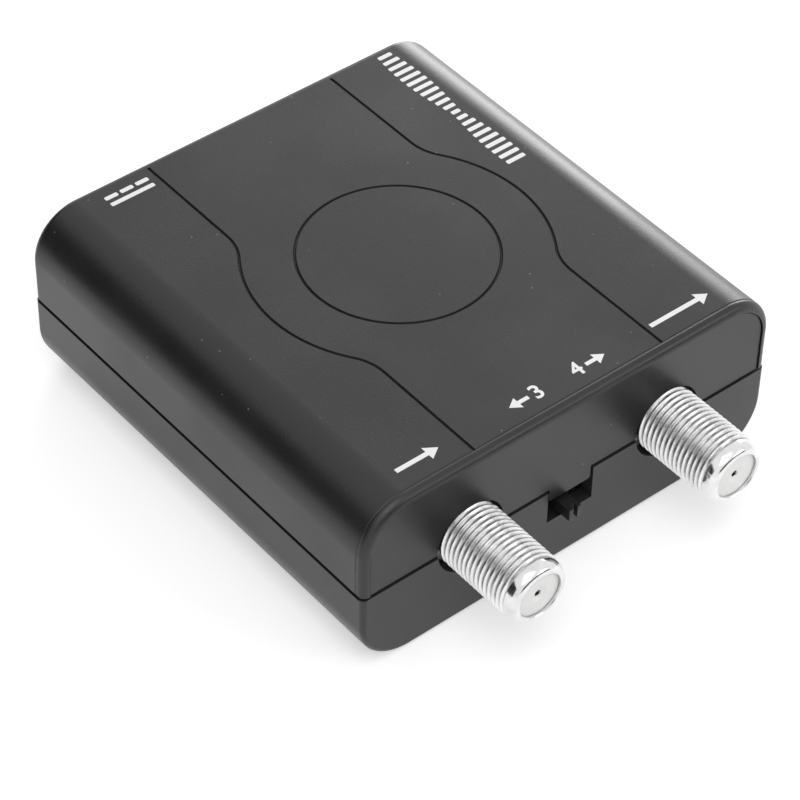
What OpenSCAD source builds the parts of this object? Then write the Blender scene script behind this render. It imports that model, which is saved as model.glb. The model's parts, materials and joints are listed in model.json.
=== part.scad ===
// Television channel modulator: a flat two-part case round one circuit board. Two screw-on
// aerial connectors and a channel switch face the front, a video and a power inlet the back.
// Millimetres. The origin is the centre of the case's bottom face. +X runs right along the
// front, +Y runs to the back and +Z is up.

/* [Case] */
// Width across the front
case_w = 67; // [65:0.2:85]
// Depth from the front face to the back face
case_d = 69.5; // [67.5:0.5:90]
// Height from the bottom face to the top face
case_h = 26.7; // [25:0.1:38]
// Thickness of every outer wall
wall = 2; // [1.6:0.1:2.4]
// Height of the joint between the two covers
parting_z = 12.95; // [12.4:0.05:14]
// Open gap seen between the two covers
parting_gap = 0.3; // [0.1:0.05:0.5]
// Radius of the long edges of the top
top_corner_r = 7.15; // [5:0.05:8.5]
// Radius of the long edges of the bottom
bottom_corner_r = 7.6; // [5:0.1:8.5]
// Radius of the upper cover's front and back rims
upper_rim_r = 1.15; // [0.6:0.05:1.5]
// Radius of the lower cover's front and back rims
lower_rim_r = 0.75; // [0.4:0.05:1.5]
// Depth of the flat end panels below the upper cover's rims
panel_recess = 0.2; // [0.1:0.05:0.4]
// Width of the step between a rim and its end panel
panel_land = 0.1; // [0.05:0.05:0.4]
// Height of the locating lip on the lower cover
lip_h = 1.2; // [0.8:0.1:2]
// Thickness of the locating lip
lip_t = 0.9; // [0.6:0.1:1]
// Free space round the lip
lip_clearance = 0.1; // [0.05:0.05:0.2]

/* [Top grooves] */
// Width of the decorative grooves
groove_w = 0.35; // [0.2:0.05:0.8]
// Depth of the decorative grooves
groove_depth = 0.3; // [0.1:0.05:0.8]
// Radius of the round groove
ring_r = 13.28; // [8:0.02:15]
// Distance of the straight stretches of the wavy grooves from the middle
stripe_x = 15.3; // [13.5:0.1:19]
// Radius of the outward bulge of the wavy grooves
stripe_bulge_r = 20.4; // [19.5:0.1:25]
// Radius of the bend between a straight stretch and the bulge
stripe_bend_r = 7.6; // [3:0.1:9.5]

/* [Circuit board] */
// Thickness of the board
board_t = 1.6; // [1:0.1:2]
// Height of the board's underside above the case's bottom face
board_z = 6; // [5.3:0.1:6.6]
// Space between the board's long edges and the side walls
board_side_gap = 2.2; // [1.6:0.1:3]
// Space between the board's ends and the end walls
board_end_gap = 1; // [0.4:0.1:2]

/* [Fasteners] */
// Distance of the case screws from the board's long edges
case_screw_inset_x = 6.5; // [5.5:0.1:8]
// Distance of the case screws from the board's ends
case_screw_inset_y = 9.5; // [8.6:0.1:11]
// Radius of a case screw's shank
case_screw_r = 1.25; // [1:0.05:1.4]
// Radius of a case screw's head
case_screw_head_r = 2.3; // [2:0.1:2.6]
// Height of a case screw's head
case_screw_head_h = 1.3; // [1:0.1:1.6]
// Depth of the head's outer face inside the bottom face
case_screw_recess = 1; // [0.4:0.1:1.4]
// Length of thread in the upper cover's boss
case_screw_bite = 7; // [5:0.5:9]
// Radius of the case screw bosses
case_boss_r = 3.4; // [3.1:0.1:3.8]
// Distance of the board screws from the board's long edges
board_screw_inset = 3.5; // [3:0.1:5]
// Radius of a board screw's shank
board_screw_r = 1; // [0.8:0.05:1.2]
// Radius of a board screw's head
board_screw_head_r = 1.9; // [1.6:0.1:2.2]
// Height of a board screw's head
board_screw_head_h = 1.2; // [0.8:0.1:1.6]
// Length of thread in the lower cover's boss
board_screw_bite = 3.2; // [2:0.1:3.4]
// Radius of the board screw bosses
board_boss_r = 2.4; // [2:0.1:2.8]

/* [Aerial connectors] */
// Distance of each connector's axis from the middle
connector_x = 16.3; // [14.5:0.1:17]
// Height of the connector's axis above the board
connector_rise = 6; // [5.8:0.1:7.2]
// Outer radius of the thread
thread_r = 4.7; // [4.5:0.05:4.8]
// Distance between neighbouring thread crests
thread_pitch = 0.794; // [0.5:0.002:1]
// Depth of the thread
thread_depth = 0.42; // [0.2:0.02:0.5]
// Length of the thread outside the end panel
thread_len = 11.4; // [8:0.1:14]
// Length of the smooth rounded nose past the thread
nose_len = 1.75; // [1.6:0.05:3]
// Outer radius of the nose where the thread ends
nose_r = 4.5; // [4.3:0.05:4.6]
// Length over which the nose rounds in to its lip
nose_round_len = 1.5; // [0.8:0.1:1.6]
// Radius of the bore that holds the insulator
insulator_bore_r = 3.45; // [3:0.05:3.6]
// Width of the rolled lip that keeps the insulator in
nose_lip_w = 0.15; // [0.1:0.05:0.3]
// Depth of the insulator's face behind the tip
insulator_recess = 0.35; // [0.3:0.05:1]
// Thickness of the insulator's front disc
insulator_disc_t = 1.5; // [1:0.1:3]
// Radius of the entry hole for the cable's centre wire
entry_hole_r = 0.6; // [0.55:0.05:0.8]
// Outer radius of the centre contact
contact_r = 0.95; // [0.8:0.05:1.2]
// Radius of the centre contact's bore
contact_bore_r = 0.5; // [0.4:0.02:0.54]
// Depth of the centre contact's bore
contact_bore_len = 7; // [4:0.5:8]
// Length of the centre contact's wide part
contact_len = 8; // [8:0.5:9]
// Radius of the round case openings for the connectors
connector_hole_r = 5.25; // [5.2:0.05:5.8]
// Drop of those openings below the connectors' axes
connector_hole_drop = 0.3; // [0:0.05:0.3]
// Width of the connector's mounting block
block_w = 11.4; // [10.4:0.1:12]
// Depth of the connector's mounting block
block_d = 5; // [4:0.1:5.4]
// Metal above the connector's axis in the block
block_above_axis = 5.7; // [5.2:0.1:6]
// Radius of the block's mounting pegs
peg_r = 0.6; // [0.4:0.05:0.8]
// Radius of the contact's tail
tail_r = 0.28; // [0.2:0.02:0.34]
// Length of pins and pegs below the board
pin_stickout = 1; // [0.5:0.1:1.6]

/* [Channel switch] */
// Width of the switch's metal frame
switch_w = 8.2; // [7.8:0.1:8.8]
// Height of the switch above the board
switch_h = 3.4; // [3.3:0.1:4]
// Depth of the switch
switch_d = 4; // [3.8:0.1:4.6]
// Thickness of the frame's sheet
switch_sheet = 0.3; // [0.2:0.05:0.35]
// Width of the finger knob
knob_w = 1.95; // [1.6:0.05:2.2]
// Height of the finger knob
knob_h = 1.9; // [1.6:0.05:2]
// Height of the knob's middle above the board
knob_rise = 1.75; // [1.65:0.05:1.8]
// Length of the knob outside the end panel
knob_reach = 2.4; // [1:0.1:4]
// Distance between the two switch positions
switch_travel = 2; // [1:0.1:2]
// Width of the grip notch in the knob's end
knob_notch_w = 0.7; // [0.4:0.05:0.9]
// Depth of the grip notch
knob_notch_depth = 0.8; // [0.3:0.05:1]
// Width of the case opening for the switch
window_w = 7.5; // [7:0.1:8.8]
// Drop of the opening's sill below the board's top
window_sill_drop = 0.05; // [0:0.05:0.4]
// Gap at each side of the upper cover's tab in the opening
tab_gap = 0.3; // [0.1:0.05:0.5]
// Space between the tab and the knob
tab_knob_gap = 0.75; // [0.4:0.05:1]
// Radius of the tab's lower corners
tab_corner_r = 0.4; // [0.2:0.05:0.6]

/* [Power inlet] */
// Distance of the inlet's axis left of the middle
power_x = 20; // [18.5:0.1:20.5]
// Width of the inlet's shell
power_w = 7.5; // [7:0.1:8]
// Height of the inlet's shell
power_h = 2.7; // [2.5:0.05:2.9]
// Depth of the inlet's shell
power_d = 5.6; // [5:0.1:6]
// Thickness of the inlet's sheet
power_sheet = 0.25; // [0.2:0.05:0.35]
// Width of the inlet's inner tongue
power_tongue_w = 3.7; // [3.2:0.1:4]
// Thickness of the inlet's inner tongue
power_tongue_t = 0.6; // [0.5:0.05:0.7]

/* [Video inlet] */
// Width of the inlet's shell
video_w = 15; // [14.5:0.1:15.5]
// Height of the inlet's shell
video_h = 5.6; // [5.4:0.1:6]
// Depth of the inlet's shell
video_d = 11; // [10:0.1:12]
// Thickness of the inlet's sheet
video_sheet = 0.35; // [0.3:0.05:0.45]
// Width of the inlet's inner tongue
video_tongue_w = 11; // [10.6:0.1:11.4]
// Thickness of the inlet's inner tongue
video_tongue_t = 1.5; // [1.2:0.1:1.7]
// Gap between an inlet and its opening in the case
inlet_gap = 0.3; // [0.2:0.05:0.5]

/* [Shield] */
// Width of the metal box over the aerial circuit
shield_w = 26; // [24:0.5:30]
// Depth of the metal box
shield_d = 16.5; // [15:0.5:17]
// Height of the metal box
shield_h = 5; // [4:0.1:7]
// Thickness of the box's sheet
shield_sheet = 0.3; // [0.2:0.05:0.4]
// Height of the lid's skirt
shield_skirt = 2; // [1:0.1:3]
// Space between the box and the connectors' tails
shield_gap = 0.8; // [0.6:0.1:1.2]

/* [Board components] */
// Width of the video chip's square body
video_chip_w = 10; // [9:0.5:12]
// Width of the aerial chip's body
rf_chip_w = 5; // [4:0.5:6]
// Width of the controller chip's body
control_chip_w = 4; // [3.5:0.5:5]
// Length of the controller chip's body
control_chip_len = 5; // [4:0.5:7]
// Height of the chips' bodies
chip_h = 1.4; // [1:0.1:2]
// Distance between neighbouring chip leads
lead_pitch = 0.8; // [0.6:0.05:1]
// Radius of the round storage capacitors
can_r = 2.5; // [2:0.1:3]
// Height of the round storage capacitors
can_h = 5.4; // [4:0.1:8]
// Width of the power coil's square body
coil_w = 6; // [4:0.5:7]
// Height of the power coil
coil_h = 2.8; // [2:0.1:4]
// Width of the voltage regulator's body
regulator_w = 3.5; // [3:0.1:4]
// Length of the voltage regulator's body
regulator_len = 6.5; // [6:0.1:7]
// Length of the crystal's can
crystal_len = 8; // [6:0.5:9]
// Width of the crystal's can
crystal_w = 3.2; // [2:0.1:4]
// Height of the crystal's can
crystal_h = 3; // [2:0.1:4]
// Length of a chip capacitor or resistor
chip_part_len = 1.6; // [1:0.1:2]
// Width of a chip capacitor or resistor
chip_part_w = 0.8; // [0.5:0.1:1]
// Height of a chip capacitor
chip_part_h = 0.8; // [0.5:0.1:1]

/* [Hidden] */

$fn = 48;

// Overrun of a cut past the face that it opens
over = 0.5;
// Thickness of the thin slices that a rounded form is drawn over
slice = 0.01;
// Number of steps in a rounded corner of an outline
corner_steps = 12;
// Number of steps in a rounded rim
rim_steps = 5;
// Clearance of a screw in a hole that it only passes through
screw_clearance = 0.25;
// Clearance of a screw in the hole that it bites
bite_clearance = 0.05;
// Clearance round a screw's head in its counterbore
head_clearance = 0.3;
// Depth of the cross recess in a screw's head
cross_depth = 0.6;
// Width of the cross recess
cross_w = 0.5;
// Clearance of pins and pegs in the board
pin_clearance = 0.15;
// Clearance between pieces that are pushed together
seat_clearance = 0.05;
// Clearance of the moving switch pieces
slide_clearance = 0.1;

case_front = -case_d / 2;
case_back = case_d / 2;
panel_front = case_front + panel_recess;
panel_back = case_back - panel_recess;
inner_w = case_w - 2 * wall;
inner_d = case_d - 2 * wall;
panel_inset = upper_rim_r + panel_land;
upper_z = parting_z + parting_gap / 2;
lower_z = parting_z - parting_gap / 2;

board_top = board_z + board_t;
board_w = inner_w - 2 * board_side_gap;
board_d = inner_d - 2 * board_end_gap;
pin_bottom = board_z - pin_stickout;

case_screw_x = board_w / 2 - case_screw_inset_x;
case_screw_y = board_d / 2 - case_screw_inset_y;
case_screw_seat = case_screw_recess + case_screw_head_h;
case_screw_end = board_top + case_screw_bite;
board_screw_x = board_w / 2 - board_screw_inset;
board_screw_end = board_z - board_screw_bite;
board_screw_pilot_end = board_screw_end - head_clearance;

axis_z = board_top + connector_rise;
block_gap = 0.2;
block_front = case_front + wall + block_gap;
block_back = block_front + block_d;
thread_end = panel_front - thread_len;
tip_y = thread_end - nose_len;
thread_root_r = thread_r - thread_depth;
thread_turns = floor(thread_len / thread_pitch);
// Flat part of each crest and of each root as a share of the pitch
crest_share = 0.36;
root_share = 0.14;
// Flat rim at the nose's tip as a share of the way from the bore to the nose's side
nose_rim_share = 0.15;
insulator_front = tip_y + insulator_recess;
insulator_tail = 0.6;
insulator_back = block_back + insulator_tail;
insulator_r = insulator_bore_r - seat_clearance;
contact_front = insulator_front + insulator_disc_t;
contact_back = contact_front + contact_len;
tail_y = insulator_back + insulator_tail;
// Distance of the pegs from the block's sides and ends as shares of its width and depth
peg_inset_share = 0.12;
peg_depth_share = 0.2;

knob_z = board_top + knob_rise;
knob_top = knob_z + knob_h / 2;
knob_rest_x = -switch_travel / 2;
window_sill = board_top - window_sill_drop;
tab_bottom = knob_top + tab_knob_gap;
tab_w = window_w - 2 * tab_gap;
switch_gap = 0.3;
switch_front = case_front + wall + switch_gap;
switch_back = switch_front + switch_d;
slider_t = 1.3;
slider_front = switch_front + switch_sheet + slide_clearance;
slider_back = slider_front + slider_t;
// The slider's block fills the frame's width but for its travel, so that it closes the knob's slot
slider_w = switch_w - 2 * switch_sheet - 2 * slide_clearance - switch_travel;
slider_h = knob_h + 2 * slide_clearance;
clip_t = 0.2;
clip_bump = 0.15;
clip_front = slider_back;
clip_back = clip_front + clip_t;
terminal_t = 0.25;
terminal_w = 0.8;
terminal_pitch = 2.5;
terminal_front = clip_back + clip_bump + seat_clearance;
terminal_back = terminal_front + terminal_t;
frame_tab_w = 1.2;

// Width of the legs under an inlet's shell, and their distance from the board's end
shell_leg_w = 0.8;
shell_leg_edge = 0.55;
// Cut corners of an inlet's shell as a share of its height
inlet_cut_share = 0.3;
// Root of an inlet's tongue, and the setbacks of the tongue and of its strips, as shares of the depth
tongue_root_share = 0.25;
tongue_setback_share = 0.14;
strip_setback_share = 0.2;
power_front = panel_back - seat_clearance;
power_axis_z = board_top + power_h / 2;
video_front = panel_back - seat_clearance;
video_axis_z = board_top + video_h / 2;

shield_middle_y = tail_y + tail_r + shield_gap + shield_d / 2;
shield_flange = 1;
lead_foot = 0.5;
lead_t = 0.15;
lead_reach = 1;
lead_w = 0.3;
chip_standoff = 0.1;

// Spacing and width of the regulator's three leads, and width of its heat tab
regulator_pitch = 2.3;
regulator_lead_w = 0.7;
regulator_tab_w = 3;
// Spacing, half width and thickness of the power inlet's contacts
power_pitch = 0.65;
power_strip_half = 0.15;
power_strip_t = 0.1;
// Spacing, half width and thickness of the video inlet's contacts
video_pitch = 1;
video_strip_half = 0.2;
video_strip_t = 0.15;

// Places of the larger board parts as shares of the board's width and depth
video_chip_share = [0.05, 0.13];
control_chip_share = [-0.2, 0.07];
// Places inside the shield as shares of the shield's width and depth
rf_chip_share = [0.05, 0];
shielded_shares = [[-0.25, 0.2], [-0.25, -0.2], [0.32, 0.2], [0.32, -0.2], [0.32, 0], [-0.36, 0]];
regulator_share = [-0.29, 0.2];
can_shares = [[-0.18, 0.19], [-0.18, 0.31]];
coil_share = [-0.33, 0.09];
crystal_share = [0.27, 0.14];
// Places of the small parts as shares of the board's width and depth
capacitor_shares = [
    [-0.06, 0.25], [0.0, 0.25], [0.06, 0.25], [0.12, 0.25], [0.17, 0.2],
    [-0.09, 0.13], [-0.09, 0.09], [0.19, 0.06], [0.2, -0.02], [-0.28, -0.03],
    [-0.3, -0.13], [0.3, -0.13], [0.3, -0.21], [-0.3, -0.21]
];
resistor_shares = [
    [-0.02, 0.0], [0.04, 0.0], [0.1, 0.0], [-0.08, 0.0], [-0.14, -0.03],
    [0.28, 0.05], [0.28, 0.0], [-0.02, -0.05], [0.06, -0.05], [-0.36, -0.16],
    [0.36, -0.16], [-0.28, 0.02]
];

case_colour = [0.16, 0.16, 0.165];
metal_colour = [0.78, 0.78, 0.76];
gold_colour = [0.83, 0.68, 0.36];
board_colour = [0.08, 0.3, 0.16];
chip_colour = [0.09, 0.09, 0.1];
cream_colour = [0.92, 0.9, 0.85];

// Points of an arc in the drawing plane
function arc(cx, cy, r, from, to, steps = corner_steps) = [
    for (i = [0:steps])
        let (a = from + (to - from) * i / steps)
            [cx + r * cos(a), cy + r * sin(a)]
];

// Outline of the case seen from the front, drawn in by a distance all round
function case_outline(inset) =
    let (
        side = case_w / 2 - inset,
        high = case_h - inset,
        rt = top_corner_r - inset,
        rb = bottom_corner_r - inset
    )
    concat(
        arc(side - rb, inset + rb, rb, -90, 0),
        arc(side - rt, high - rt, rt, 0, 90),
        arc(rt - side, high - rt, rt, 90, 180),
        arc(rb - side, inset + rb, rb, 180, 270)
    );

// Draws a front view outline and runs it from one depth to another
module along_y(from, to) {
    translate([0, to, 0])
        rotate([90, 0, 0])
            linear_extrude(to - from)
                children();
}

// A block given by its lowest and highest corners
module block(low, high) {
    translate(low)
        cube(high - low);
}

// A cylinder whose axis runs from front to back
module rod_y(x, z, r, from, to) {
    translate([x, from, z])
        rotate([-90, 0, 0])
            cylinder(r = r, h = to - from);
}

// The places of the four case screws
module at_case_screws() {
    for (x = [-case_screw_x, case_screw_x])
        for (y = [-case_screw_y, case_screw_y])
            translate([x, y, 0])
                children();
}

// The places of the two board screws
module at_board_screws() {
    for (x = [-board_screw_x, board_screw_x])
        translate([x, 0, 0])
            children();
}

// Depths and insets of the outlines that round the case's two ends, from front to back
function rim_rings(rim) = [
    for (side = [-1, 1])
        for (i = [0:rim_steps])
            let (a = 90 * (side < 0 ? rim_steps - i : i) / rim_steps)
                [side * (case_back - rim + rim * sin(a)), rim * (1 - cos(a))]
];

// The whole outside of the case with rounded rims at its two ends
module case_form(rim) {
    rings = rim_rings(rim);
    count = len(case_outline(0));
    last = (len(rings) - 1) * count;
    polyhedron(
        points = [for (ring = rings) for (p = case_outline(ring[1])) [p[0], ring[0], p[1]]],
        faces = concat(
            [for (i = [1:count - 2]) [0, i + 1, i]],
            [
                for (j = [0:len(rings) - 2])
                    for (i = [0:count - 1])
                        let (a = j * count + i, b = j * count + (i + 1) % count)
                            each [[a, b, b + count], [a, b + count, a + count]]
            ],
            [for (i = [1:count - 2]) [last, last + i, last + i + 1]]
        )
    );
}

// The hollow inside the case
module case_hollow() {
    along_y(case_front + wall, case_back - wall)
        polygon(case_outline(wall));
}

// A rectangular ring on the inside half of the walls, for the lip and its rebate
module lip_ring(outer, low, high) {
    difference() {
        block([-inner_w / 2 - outer, -inner_d / 2 - outer, low],
            [inner_w / 2 + outer, inner_d / 2 + outer, high]);
        block([-inner_w / 2, -inner_d / 2, low - over], [inner_w / 2, inner_d / 2, high + over]);
    }
}

// Cuts through both covers for the two connectors and the two inlets
module panel_openings() {
    for (x = [-connector_x, connector_x])
        rod_y(x, axis_z - connector_hole_drop, connector_hole_r,
            case_front - over, case_front + wall + over);
    translate([-power_x, 0, 0])
        block([-power_w / 2 - inlet_gap, case_back - wall - over, board_top - inlet_gap],
            [power_w / 2 + inlet_gap, case_back + over, board_top + power_h + inlet_gap]);
    block([-video_w / 2 - inlet_gap, case_back - wall - over, board_top - inlet_gap],
        [video_w / 2 + inlet_gap, case_back + over, board_top + video_h + inlet_gap]);
}

// Flat sunk panels at the two ends of the upper cover
module end_panels() {
    along_y(case_front - over, panel_front)
        polygon(case_outline(panel_inset));
    along_y(panel_back, case_back + over)
        polygon(case_outline(panel_inset));
}

// Centre line of the right half of a wavy groove, widened to one side by a distance
function stripe_edge(widen) =
    let (
        bend_x = stripe_x + stripe_bend_r,
        bend_y = sqrt(pow(stripe_bulge_r + stripe_bend_r, 2) - pow(bend_x, 2)),
        turn = atan2(bend_y, bend_x),
        end_y = case_back - upper_rim_r
    )
    concat(
        [[stripe_x + widen, -end_y]],
        arc(bend_x, -bend_y, stripe_bend_r - widen, 180, 180 - turn),
        arc(0, 0, stripe_bulge_r + widen, -turn, turn, 2 * corner_steps),
        arc(bend_x, bend_y, stripe_bend_r - widen, 180 + turn, 180),
        [[stripe_x + widen, end_y]]
    );

// The round groove and the two wavy grooves in the top face
module top_grooves() {
    outer = stripe_edge(groove_w / 2);
    inner = stripe_edge(-groove_w / 2);
    last = len(inner) - 1;
    translate([0, 0, case_h - groove_depth]) {
        difference() {
            cylinder(r = ring_r + groove_w / 2, h = groove_depth + over);
            translate([0, 0, -over])
                cylinder(r = ring_r - groove_w / 2, h = groove_depth + 3 * over);
        }
        for (side = [0, 1])
            mirror([side, 0, 0])
                linear_extrude(groove_depth + over)
                    polygon(concat(outer, [for (i = [last:-1:0]) inner[i]]));
    }
}

// The upper cover's tab, which closes the top of the switch opening
module window_tab() {
    r = tab_corner_r;
    side = tab_w / 2;
    along_y(panel_front, case_front + wall)
        polygon(concat(
            [[side, upper_z + over], [-side, upper_z + over]],
            arc(r - side, tab_bottom + r, r, 180, 270),
            arc(side - r, tab_bottom + r, r, 270, 360)
        ));
}

module upper_cover() {
    color(case_colour)
        difference() {
            union() {
                difference() {
                    intersection() {
                        case_form(upper_rim_r);
                        block([-case_w, -case_d, upper_z], [case_w, case_d, case_h + over]);
                    }
                    case_hollow();
                    end_panels();
                    lip_ring(lip_t + lip_clearance, upper_z - over, upper_z + lip_h + lip_clearance);
                }
                window_tab();
                at_case_screws()
                    translate([0, 0, board_top])
                        cylinder(r = case_boss_r, h = case_h - wall / 2 - board_top);
            }
            top_grooves();
            panel_openings();
            at_case_screws()
                translate([0, 0, board_top - over])
                    cylinder(r = case_screw_r + bite_clearance, h = case_screw_bite + 2 * over);
        }
}

module lower_cover() {
    color(case_colour)
        difference() {
            union() {
                difference() {
                    intersection() {
                        case_form(lower_rim_r);
                        block([-case_w, -case_d, -over], [case_w, case_d, lower_z]);
                    }
                    case_hollow();
                }
                lip_ring(lip_t, lower_z - slice, lower_z + lip_h);
                at_case_screws()
                    translate([0, 0, wall / 2])
                        cylinder(r = case_boss_r, h = board_z - wall / 2);
                at_board_screws()
                    translate([0, 0, wall / 2])
                        cylinder(r = board_boss_r, h = board_z - wall / 2);
            }
            panel_openings();
            block([-window_w / 2, case_front - over, window_sill],
                [window_w / 2, case_front + wall + over, parting_z + lip_h + over]);
            at_case_screws() {
                translate([0, 0, -over])
                    cylinder(r = case_screw_head_r + head_clearance, h = case_screw_seat + over);
                cylinder(r = case_screw_r + screw_clearance, h = board_z + over);
            }
            at_board_screws()
                translate([0, 0, board_screw_pilot_end])
                    cylinder(r = board_screw_r + bite_clearance, h = board_z + over);
        }
}

// A pan-head screw with a cross recess, its head's flat side at the origin and its shank upwards
module screw(shank_r, shank_len, head_r, head_h) {
    arm = head_r * 0.6;
    difference() {
        union() {
            translate([0, 0, -head_h])
                cylinder(r = head_r, h = head_h);
            cylinder(r = shank_r, h = shank_len);
        }
        for (turn = [0, 90])
            rotate([0, 0, turn])
                block([-arm, -cross_w / 2, -head_h - over], [arm, cross_w / 2, -head_h + cross_depth]);
    }
}

module case_screws() {
    color(metal_colour)
        at_case_screws()
            translate([0, 0, case_screw_seat])
                screw(case_screw_r, case_screw_end - case_screw_seat,
                    case_screw_head_r, case_screw_head_h);
}

module board_screws() {
    color(metal_colour)
        at_board_screws()
            translate([0, 0, board_top])
                mirror([0, 0, 1])
                    screw(board_screw_r, board_top - board_screw_end,
                        board_screw_head_r, board_screw_head_h);
}

// The places of a connector block's four pegs, seen from the connector's axis
module at_pegs() {
    x = block_w * (0.5 - peg_inset_share);
    for (side = [-1, 1])
        for (y = [block_front + block_d * peg_depth_share, block_back - block_d * peg_depth_share])
            translate([side * x, y, 0])
                children();
}

// The places of the switch's three terminals
module at_terminals() {
    for (i = [-1:1])
        translate([i * terminal_pitch, 0, 0])
            children();
}

// The metal tabs that hold the switch's frame, widened and drawn down as a pin or as its slot
module switch_tabs(widen, low, high) {
    y = switch_front + switch_d / 2;
    for (side = [-1, 1]) {
        x = side * (switch_w - switch_sheet) / 2;
        block([x - switch_sheet / 2 - widen, y - frame_tab_w / 2 - widen, low],
            [x + switch_sheet / 2 + widen, y + frame_tab_w / 2 + widen, high]);
    }
}

// The legs of an inlet's shell, widened and drawn down as a pin or as its slot
module shell_legs(w, front, d, sheet, widen, low, high) {
    leg = shell_leg_w / 2;
    for (side = [-1, 1])
        for (y = [front - d + sheet + leg, board_d / 2 - shell_leg_edge - leg]) {
            x = side * (w - sheet) / 2;
            block([x - sheet / 2 - widen, y - leg - widen, low],
                [x + sheet / 2 + widen, y + leg + widen, high]);
        }
}

module circuit_board() {
    low = board_z - over;
    high = board_top + over;
    color(board_colour)
        difference() {
            block([-board_w / 2, -board_d / 2, board_z], [board_w / 2, board_d / 2, board_top]);
            at_case_screws()
                translate([0, 0, low])
                    cylinder(r = case_screw_r + screw_clearance, h = high - low);
            at_board_screws()
                translate([0, 0, low])
                    cylinder(r = board_screw_r + screw_clearance, h = high - low);
            for (x = [-connector_x, connector_x])
                translate([x, 0, low]) {
                    at_pegs()
                        cylinder(r = peg_r + pin_clearance, h = high - low);
                    translate([0, tail_y, 0])
                        cylinder(r = tail_r + pin_clearance, h = high - low);
                }
            at_terminals()
                block([-terminal_w / 2 - pin_clearance, terminal_front - pin_clearance, low],
                    [terminal_w / 2 + pin_clearance, terminal_back + pin_clearance, high]);
            switch_tabs(pin_clearance, low, high);
            translate([-power_x, 0, 0])
                shell_legs(power_w, power_front, power_d, power_sheet, pin_clearance, low, high);
            shell_legs(video_w, video_front, video_d, video_sheet, pin_clearance, low, high);
        }
}

// Half outline of a connector's barrel: radius against the distance out from the block
function barrel_outline() =
    let (
        base = panel_front - thread_end,
        reach = block_front - panel_front,
        bore = insulator_bore_r,
        tip = block_front - tip_y,
        rim = bore + (nose_r - bore) * nose_rim_share,
        flank = thread_pitch * (1 - crest_share - root_share) / 2,
        first = reach + base - thread_turns * thread_pitch
    )
    concat(
        [[bore, 0], [thread_root_r, 0]],
        [
            for (i = [0:thread_turns - 1])
                each [
                    [thread_root_r, first + i * thread_pitch],
                    [thread_r, first + i * thread_pitch + flank],
                    [thread_r, first + i * thread_pitch + flank + crest_share * thread_pitch],
                    [thread_root_r, first + (i + 1) * thread_pitch - root_share * thread_pitch]
                ]
        ],
        [[nose_r, reach + base]],
        [
            for (i = [0:rim_steps])
                let (a = 90 * i / rim_steps)
                    [rim + (nose_r - rim) * cos(a), tip - nose_round_len * (1 - sin(a))]
        ],
        [
            [bore - nose_lip_w, tip],
            [bore - nose_lip_w, tip - insulator_recess],
            [bore, tip - insulator_recess]
        ]
    );

// A connector's metal body: threaded barrel, block and four pegs
module connector_body() {
    translate([0, block_front, axis_z])
        rotate([90, 0, 0])
            rotate_extrude()
                polygon(barrel_outline());
    difference() {
        block([-block_w / 2, block_front, board_top], [block_w / 2, block_back, axis_z + block_above_axis]);
        rod_y(0, axis_z, insulator_bore_r, block_front - over, block_back + over);
    }
    at_pegs()
        translate([0, 0, pin_bottom])
            cylinder(r = peg_r, h = board_top - pin_bottom + slice);
}

// A connector's insulator: a front disc with the entry hole, and a sleeve round the contact
module connector_insulator() {
    difference() {
        rod_y(0, axis_z, insulator_r, insulator_front, insulator_back);
        rod_y(0, axis_z, entry_hole_r, insulator_front - over, contact_front + over);
        rod_y(0, axis_z, contact_r + seat_clearance, contact_front, contact_back + seat_clearance);
        rod_y(0, axis_z, tail_r + seat_clearance, contact_back, insulator_back + over);
    }
}

// A connector's centre contact: a socket for the wire, and a tail down into the board
module connector_contact() {
    difference() {
        rod_y(0, axis_z, contact_r, contact_front, contact_back);
        rod_y(0, axis_z, contact_bore_r, contact_front - over, contact_front + contact_bore_len);
    }
    rod_y(0, axis_z, tail_r, contact_back - slice, tail_y);
    translate([0, tail_y, axis_z])
        sphere(r = tail_r);
    translate([0, tail_y, pin_bottom])
        cylinder(r = tail_r, h = axis_z - pin_bottom);
}

module rf_in_connector_body() {
    color(metal_colour)
        translate([-connector_x, 0, 0])
            connector_body();
}

module rf_out_connector_body() {
    color(metal_colour)
        translate([connector_x, 0, 0])
            connector_body();
}

module rf_in_insulator() {
    color(cream_colour)
        translate([-connector_x, 0, 0])
            connector_insulator();
}

module rf_out_insulator() {
    color(cream_colour)
        translate([connector_x, 0, 0])
            connector_insulator();
}

module rf_in_contact() {
    color(metal_colour)
        translate([-connector_x, 0, 0])
            connector_contact();
}

module rf_out_contact() {
    color(metal_colour)
        translate([connector_x, 0, 0])
            connector_contact();
}

module switch_frame() {
    sheet = switch_sheet;
    top = board_top + switch_h;
    slot = switch_travel / 2 + knob_w / 2 + slide_clearance;
    color(metal_colour) {
        difference() {
            block([-switch_w / 2, switch_front, board_top], [switch_w / 2, switch_back, top]);
            block([-switch_w / 2 + sheet, switch_front + sheet, board_top - over],
                [switch_w / 2 - sheet, switch_back + over, top - sheet]);
            block([-slot, switch_front - over, knob_z - knob_h / 2 - slide_clearance],
                [slot, switch_front + sheet + over, knob_top + slide_clearance]);
        }
        switch_tabs(0, pin_bottom, board_top + slice);
    }
}

module switch_base() {
    side = switch_w / 2 - switch_sheet - seat_clearance;
    color(chip_colour)
        block([-side, terminal_back, board_top],
            [side, switch_back, board_top + switch_h - switch_sheet - seat_clearance]);
}

module switch_terminals() {
    color(gold_colour)
        at_terminals()
            block([-terminal_w / 2, terminal_front, pin_bottom],
                [terminal_w / 2, terminal_back, knob_top]);
}

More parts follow.
